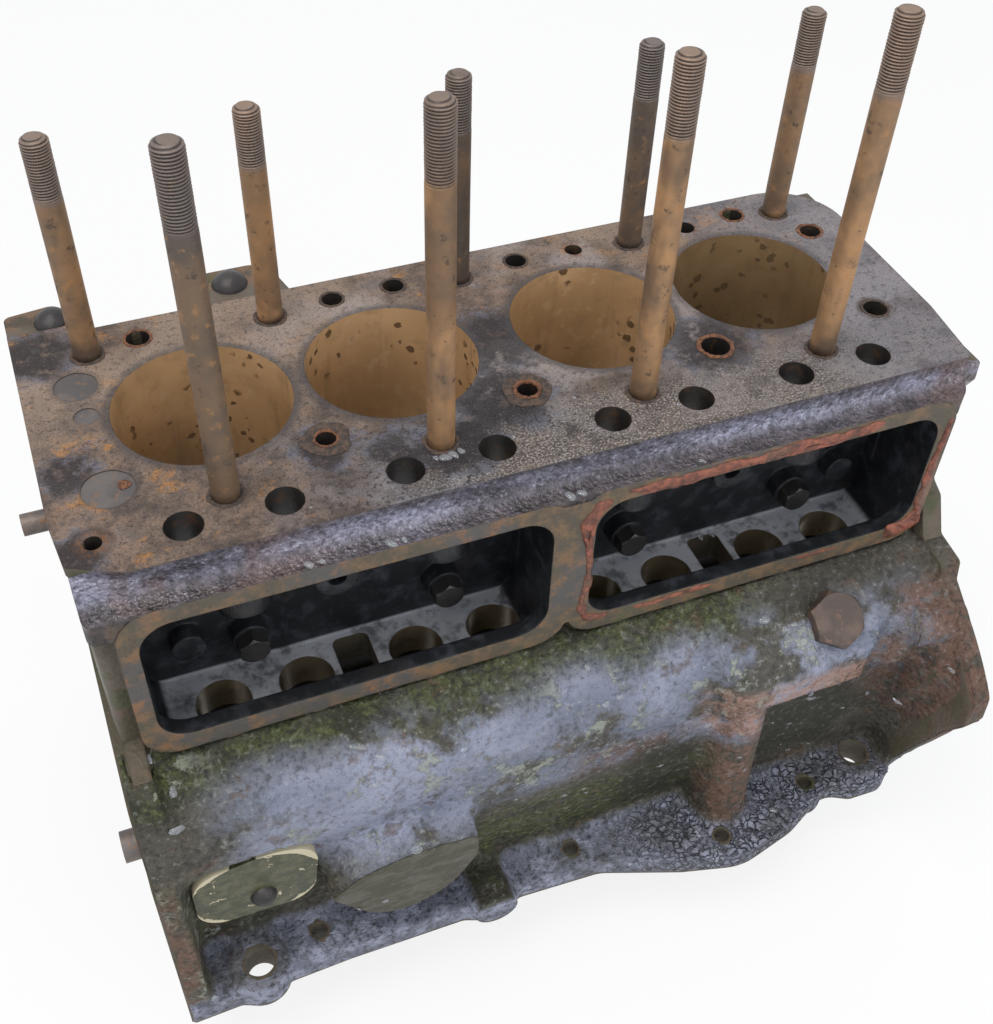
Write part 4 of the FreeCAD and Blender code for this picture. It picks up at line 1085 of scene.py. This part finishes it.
def cover_finish():
    """Olive paint with cream undercoat showing along the upper edge and in chips."""
    f = Finish("chipped_olive_paint")
    low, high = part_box("pump_pad_cover")
    u, v = ((axis - (low[k] + high[k]) / 2) / ((high[k] - low[k]) / 2)
            for k, axis in ((0, f.x), (2, f.z)))
    mottle, ragged = f.noises((190, 5, 0.65), (110, 4, 0.65))
    edge = (u * u + v * v).rise(0.8, 1.25)
    upper = (v * 0.8 + u * 0.25).rise(0.1, 0.75)
    chips = (edge * (0.5 + 0.85 * upper) + ragged * 1.1).rise(0.92, 1.0)
    chips = chips.most(f.noise(90, 4, 0.7).rise(0.6, 0.63) * 0.9)
    colour = f.coats(
        f.mix(mottle.rise(0.4, 0.62), (0.03, 0.036, 0.011), (0.082, 0.08, 0.036)),
        (f.noise(420, 3, 0.6).rise(0.55, 0.68) * 0.5, (0.035, 0.028, 0.016)),
        (chips, (0.54, 0.48, 0.33)))
    return f.finish(colour, 0.4 + chips * 0.2, height=mottle - chips * 0.8)


METALS = {      # slot: name, two tones, rust, roughness, metallic, and where the rust starts
    "dull_steel": ("oiled_screw", (0.022, 0.021, 0.022), (0.04, 0.036, 0.036),
                   (0.075, 0.048, 0.03), 0.34, 0.3, 0.6),
    "plug_steel": ("plug_steel", (0.2, 0.16, 0.14), (0.13, 0.115, 0.11),
                   (0.23, 0.115, 0.06), 0.42, 0.4, 0.55),
    "bush_metal": ("bush_metal", (0.32, 0.31, 0.29), (0.22, 0.21, 0.2),
                   (0.16, 0.12, 0.09), 0.3, 0.8, 0.62),
    "cap_iron": ("cap_iron", (0.1, 0.095, 0.09), (0.15, 0.13, 0.115),
                 (0.2, 0.11, 0.06), 0.5, 0.2, 0.55),
    "patch_iron": ("patch_iron", (0.12, 0.105, 0.1), (0.085, 0.076, 0.076),
                   (0.2, 0.12, 0.07), 0.6, 0.1, 0.54),
    "joint_paper": ("oily_joint", (0.06, 0.055, 0.045), (0.09, 0.08, 0.06),
                    (0.03, 0.027, 0.022), 0.6, 0, 0.55),
    "joint_paste": ("red_jointing", (0.36, 0.075, 0.035), (0.27, 0.085, 0.045),
                    (0.13, 0.055, 0.035), 0.5, 0, 0.6)}
FINISHES = {slot: metal_finish(*row) for slot, row in METALS.items()}
FINISHES.update(olive_paint=cover_finish(), stud_steel=STUD_FINISH)
BROWN_HEAD = metal_finish("browned_screw_head", (0.07, 0.05, 0.042), (0.115, 0.078, 0.062),
                          (0.19, 0.105, 0.07), 0.4, 0.15, 0.56)
OWN_FINISH = {"gallery_plug": BROWN_HEAD}
for row in frame["record"]["subparts"]:
    if row["node"] != "cylinder_block":
        body = nodes[row["node"]].data
        body.materials.clear()
        body.materials.append(OWN_FINISH.get(row["node"]) or FINISHES[row["material_slot"]])
print("small finishes:", len(FINISHES) + len(OWN_FINISH))

# %% [markdown]
# ## Stage, light and camera
#
# A pale floor and a pale world read white to the camera, while the block itself
# is lit by a sky-like world and two large soft lamps.


# %% White surroundings
def background_rays(tree):
    """Socket that is 1 for camera, glossy and transmission rays: they see plain white."""
    rays = tree.nodes.new("ShaderNodeLightPath").outputs
    seen = rays["Is Camera Ray"]
    for kind in ("Is Glossy Ray", "Is Transmission Ray"):
        either = tree.nodes.new("ShaderNodeMath")
        either.operation = "MAXIMUM"
        tree.links.new(seen, either.inputs[0])
        tree.links.new(rays[kind], either.inputs[1])
        seen = either.outputs[0]
    return seen


def floor_material():
    """A pale matt floor, most of which is plain white light to the background rays."""
    f = Finish("pale_floor")
    f.finish((0.86, 0.86, 0.86), 0.9)
    glow = f.node("ShaderNodeEmission", {}, {"Color": (1.0, 1.0, 1.0), "Strength": 1.0})
    seen = Value(f, background_rays(f.tree))
    both = f.node("ShaderNodeMixShader", {}, {
        0: seen * 0.82, 1: Value(f, f.shader.outputs[0]), 2: glow})
    out = next(n for n in f.tree.nodes if n.type == "OUTPUT_MATERIAL")
    f.tree.links.new(both.socket, out.inputs[0])
    return f.material


FLOOR_HALF = 6.0
low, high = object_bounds()
floor_mesh = bpy.data.meshes.new("floor")
corners = [(x * FLOOR_HALF, y * FLOOR_HALF, low[2]) for x, y in ((-1, -1), (1, -1), (1, 1), (-1, 1))]
floor_mesh.from_pydata(corners, [], [(0, 1, 2, 3)])
floor_mesh.materials.append(floor_material())
floor = put("floor", floor_mesh)

world = bpy.data.worlds.new("sky")
bpy.context.scene.world = world
world.use_nodes = True
tree = world.node_tree
tree.nodes.clear()
choose = tree.nodes.new("ShaderNodeMixShader")
tree.links.new(background_rays(tree), choose.inputs[0])
SKY, WHITE = ((0.9, 0.94, 1.0, 1.0), 0.72), ((1.0, 1.0, 1.0, 1.0), 1.0)
for count, (colour, strength) in enumerate((SKY, WHITE)):
    light = tree.nodes.new("ShaderNodeBackground")
    light.inputs["Color"].default_value = colour
    light.inputs["Strength"].default_value = strength
    tree.links.new(light.outputs[0], choose.inputs[1 + count])
tree.links.new(choose.outputs[0], tree.nodes.new("ShaderNodeOutputWorld").inputs[0])


# %% Lamps
def soft_lamp(name, place, aim, size, power, colour):
    """A square area lamp that looks from place towards aim."""
    lamp = bpy.data.lights.new(name, "AREA")
    lamp.size, lamp.energy, lamp.color = size, power, colour
    thing = put(name, lamp)
    thing.location = place
    thing.rotation_euler = (Vector(aim) - Vector(place)).to_track_quat("-Z", "Y").to_euler()
    print(name, "watts:", power)


AIM = (0, 0, -0.1)
soft_lamp("key", (-0.5, -0.25, 1.5), AIM, 0.9, 16.0, (1.0, 0.97, 0.93))
soft_lamp("front_fill", (0.5, -1.4, 0.6), AIM, 1.0, 7.0, (0.93, 0.96, 1.0))

# %% Camera
RIGHT = (0.92872, -0.36965, 0.02888)
UP = (0.24513, 0.67057, 0.70018)
BACKWARD = (-0.27818, -0.64319, 0.71339)
PLACE = (-148.06 * MM, -350.77 * MM, 295.53 * MM)
camera_data = bpy.data.cameras.new("portrait")
camera_data.lens, camera_data.sensor_width = 45.33, 36.0
camera_data.clip_start, camera_data.clip_end = 0.01, 50.0
camera = put("portrait", camera_data)
axes = [(*axis, 0) for axis in (RIGHT, UP, BACKWARD)] + [(*PLACE, 1)]
camera.matrix_world = Matrix(axes).transposed()
scene = bpy.context.scene
scene.camera = camera
scene.view_settings.view_transform = "Standard"
print("camera lens:", camera_data.lens)
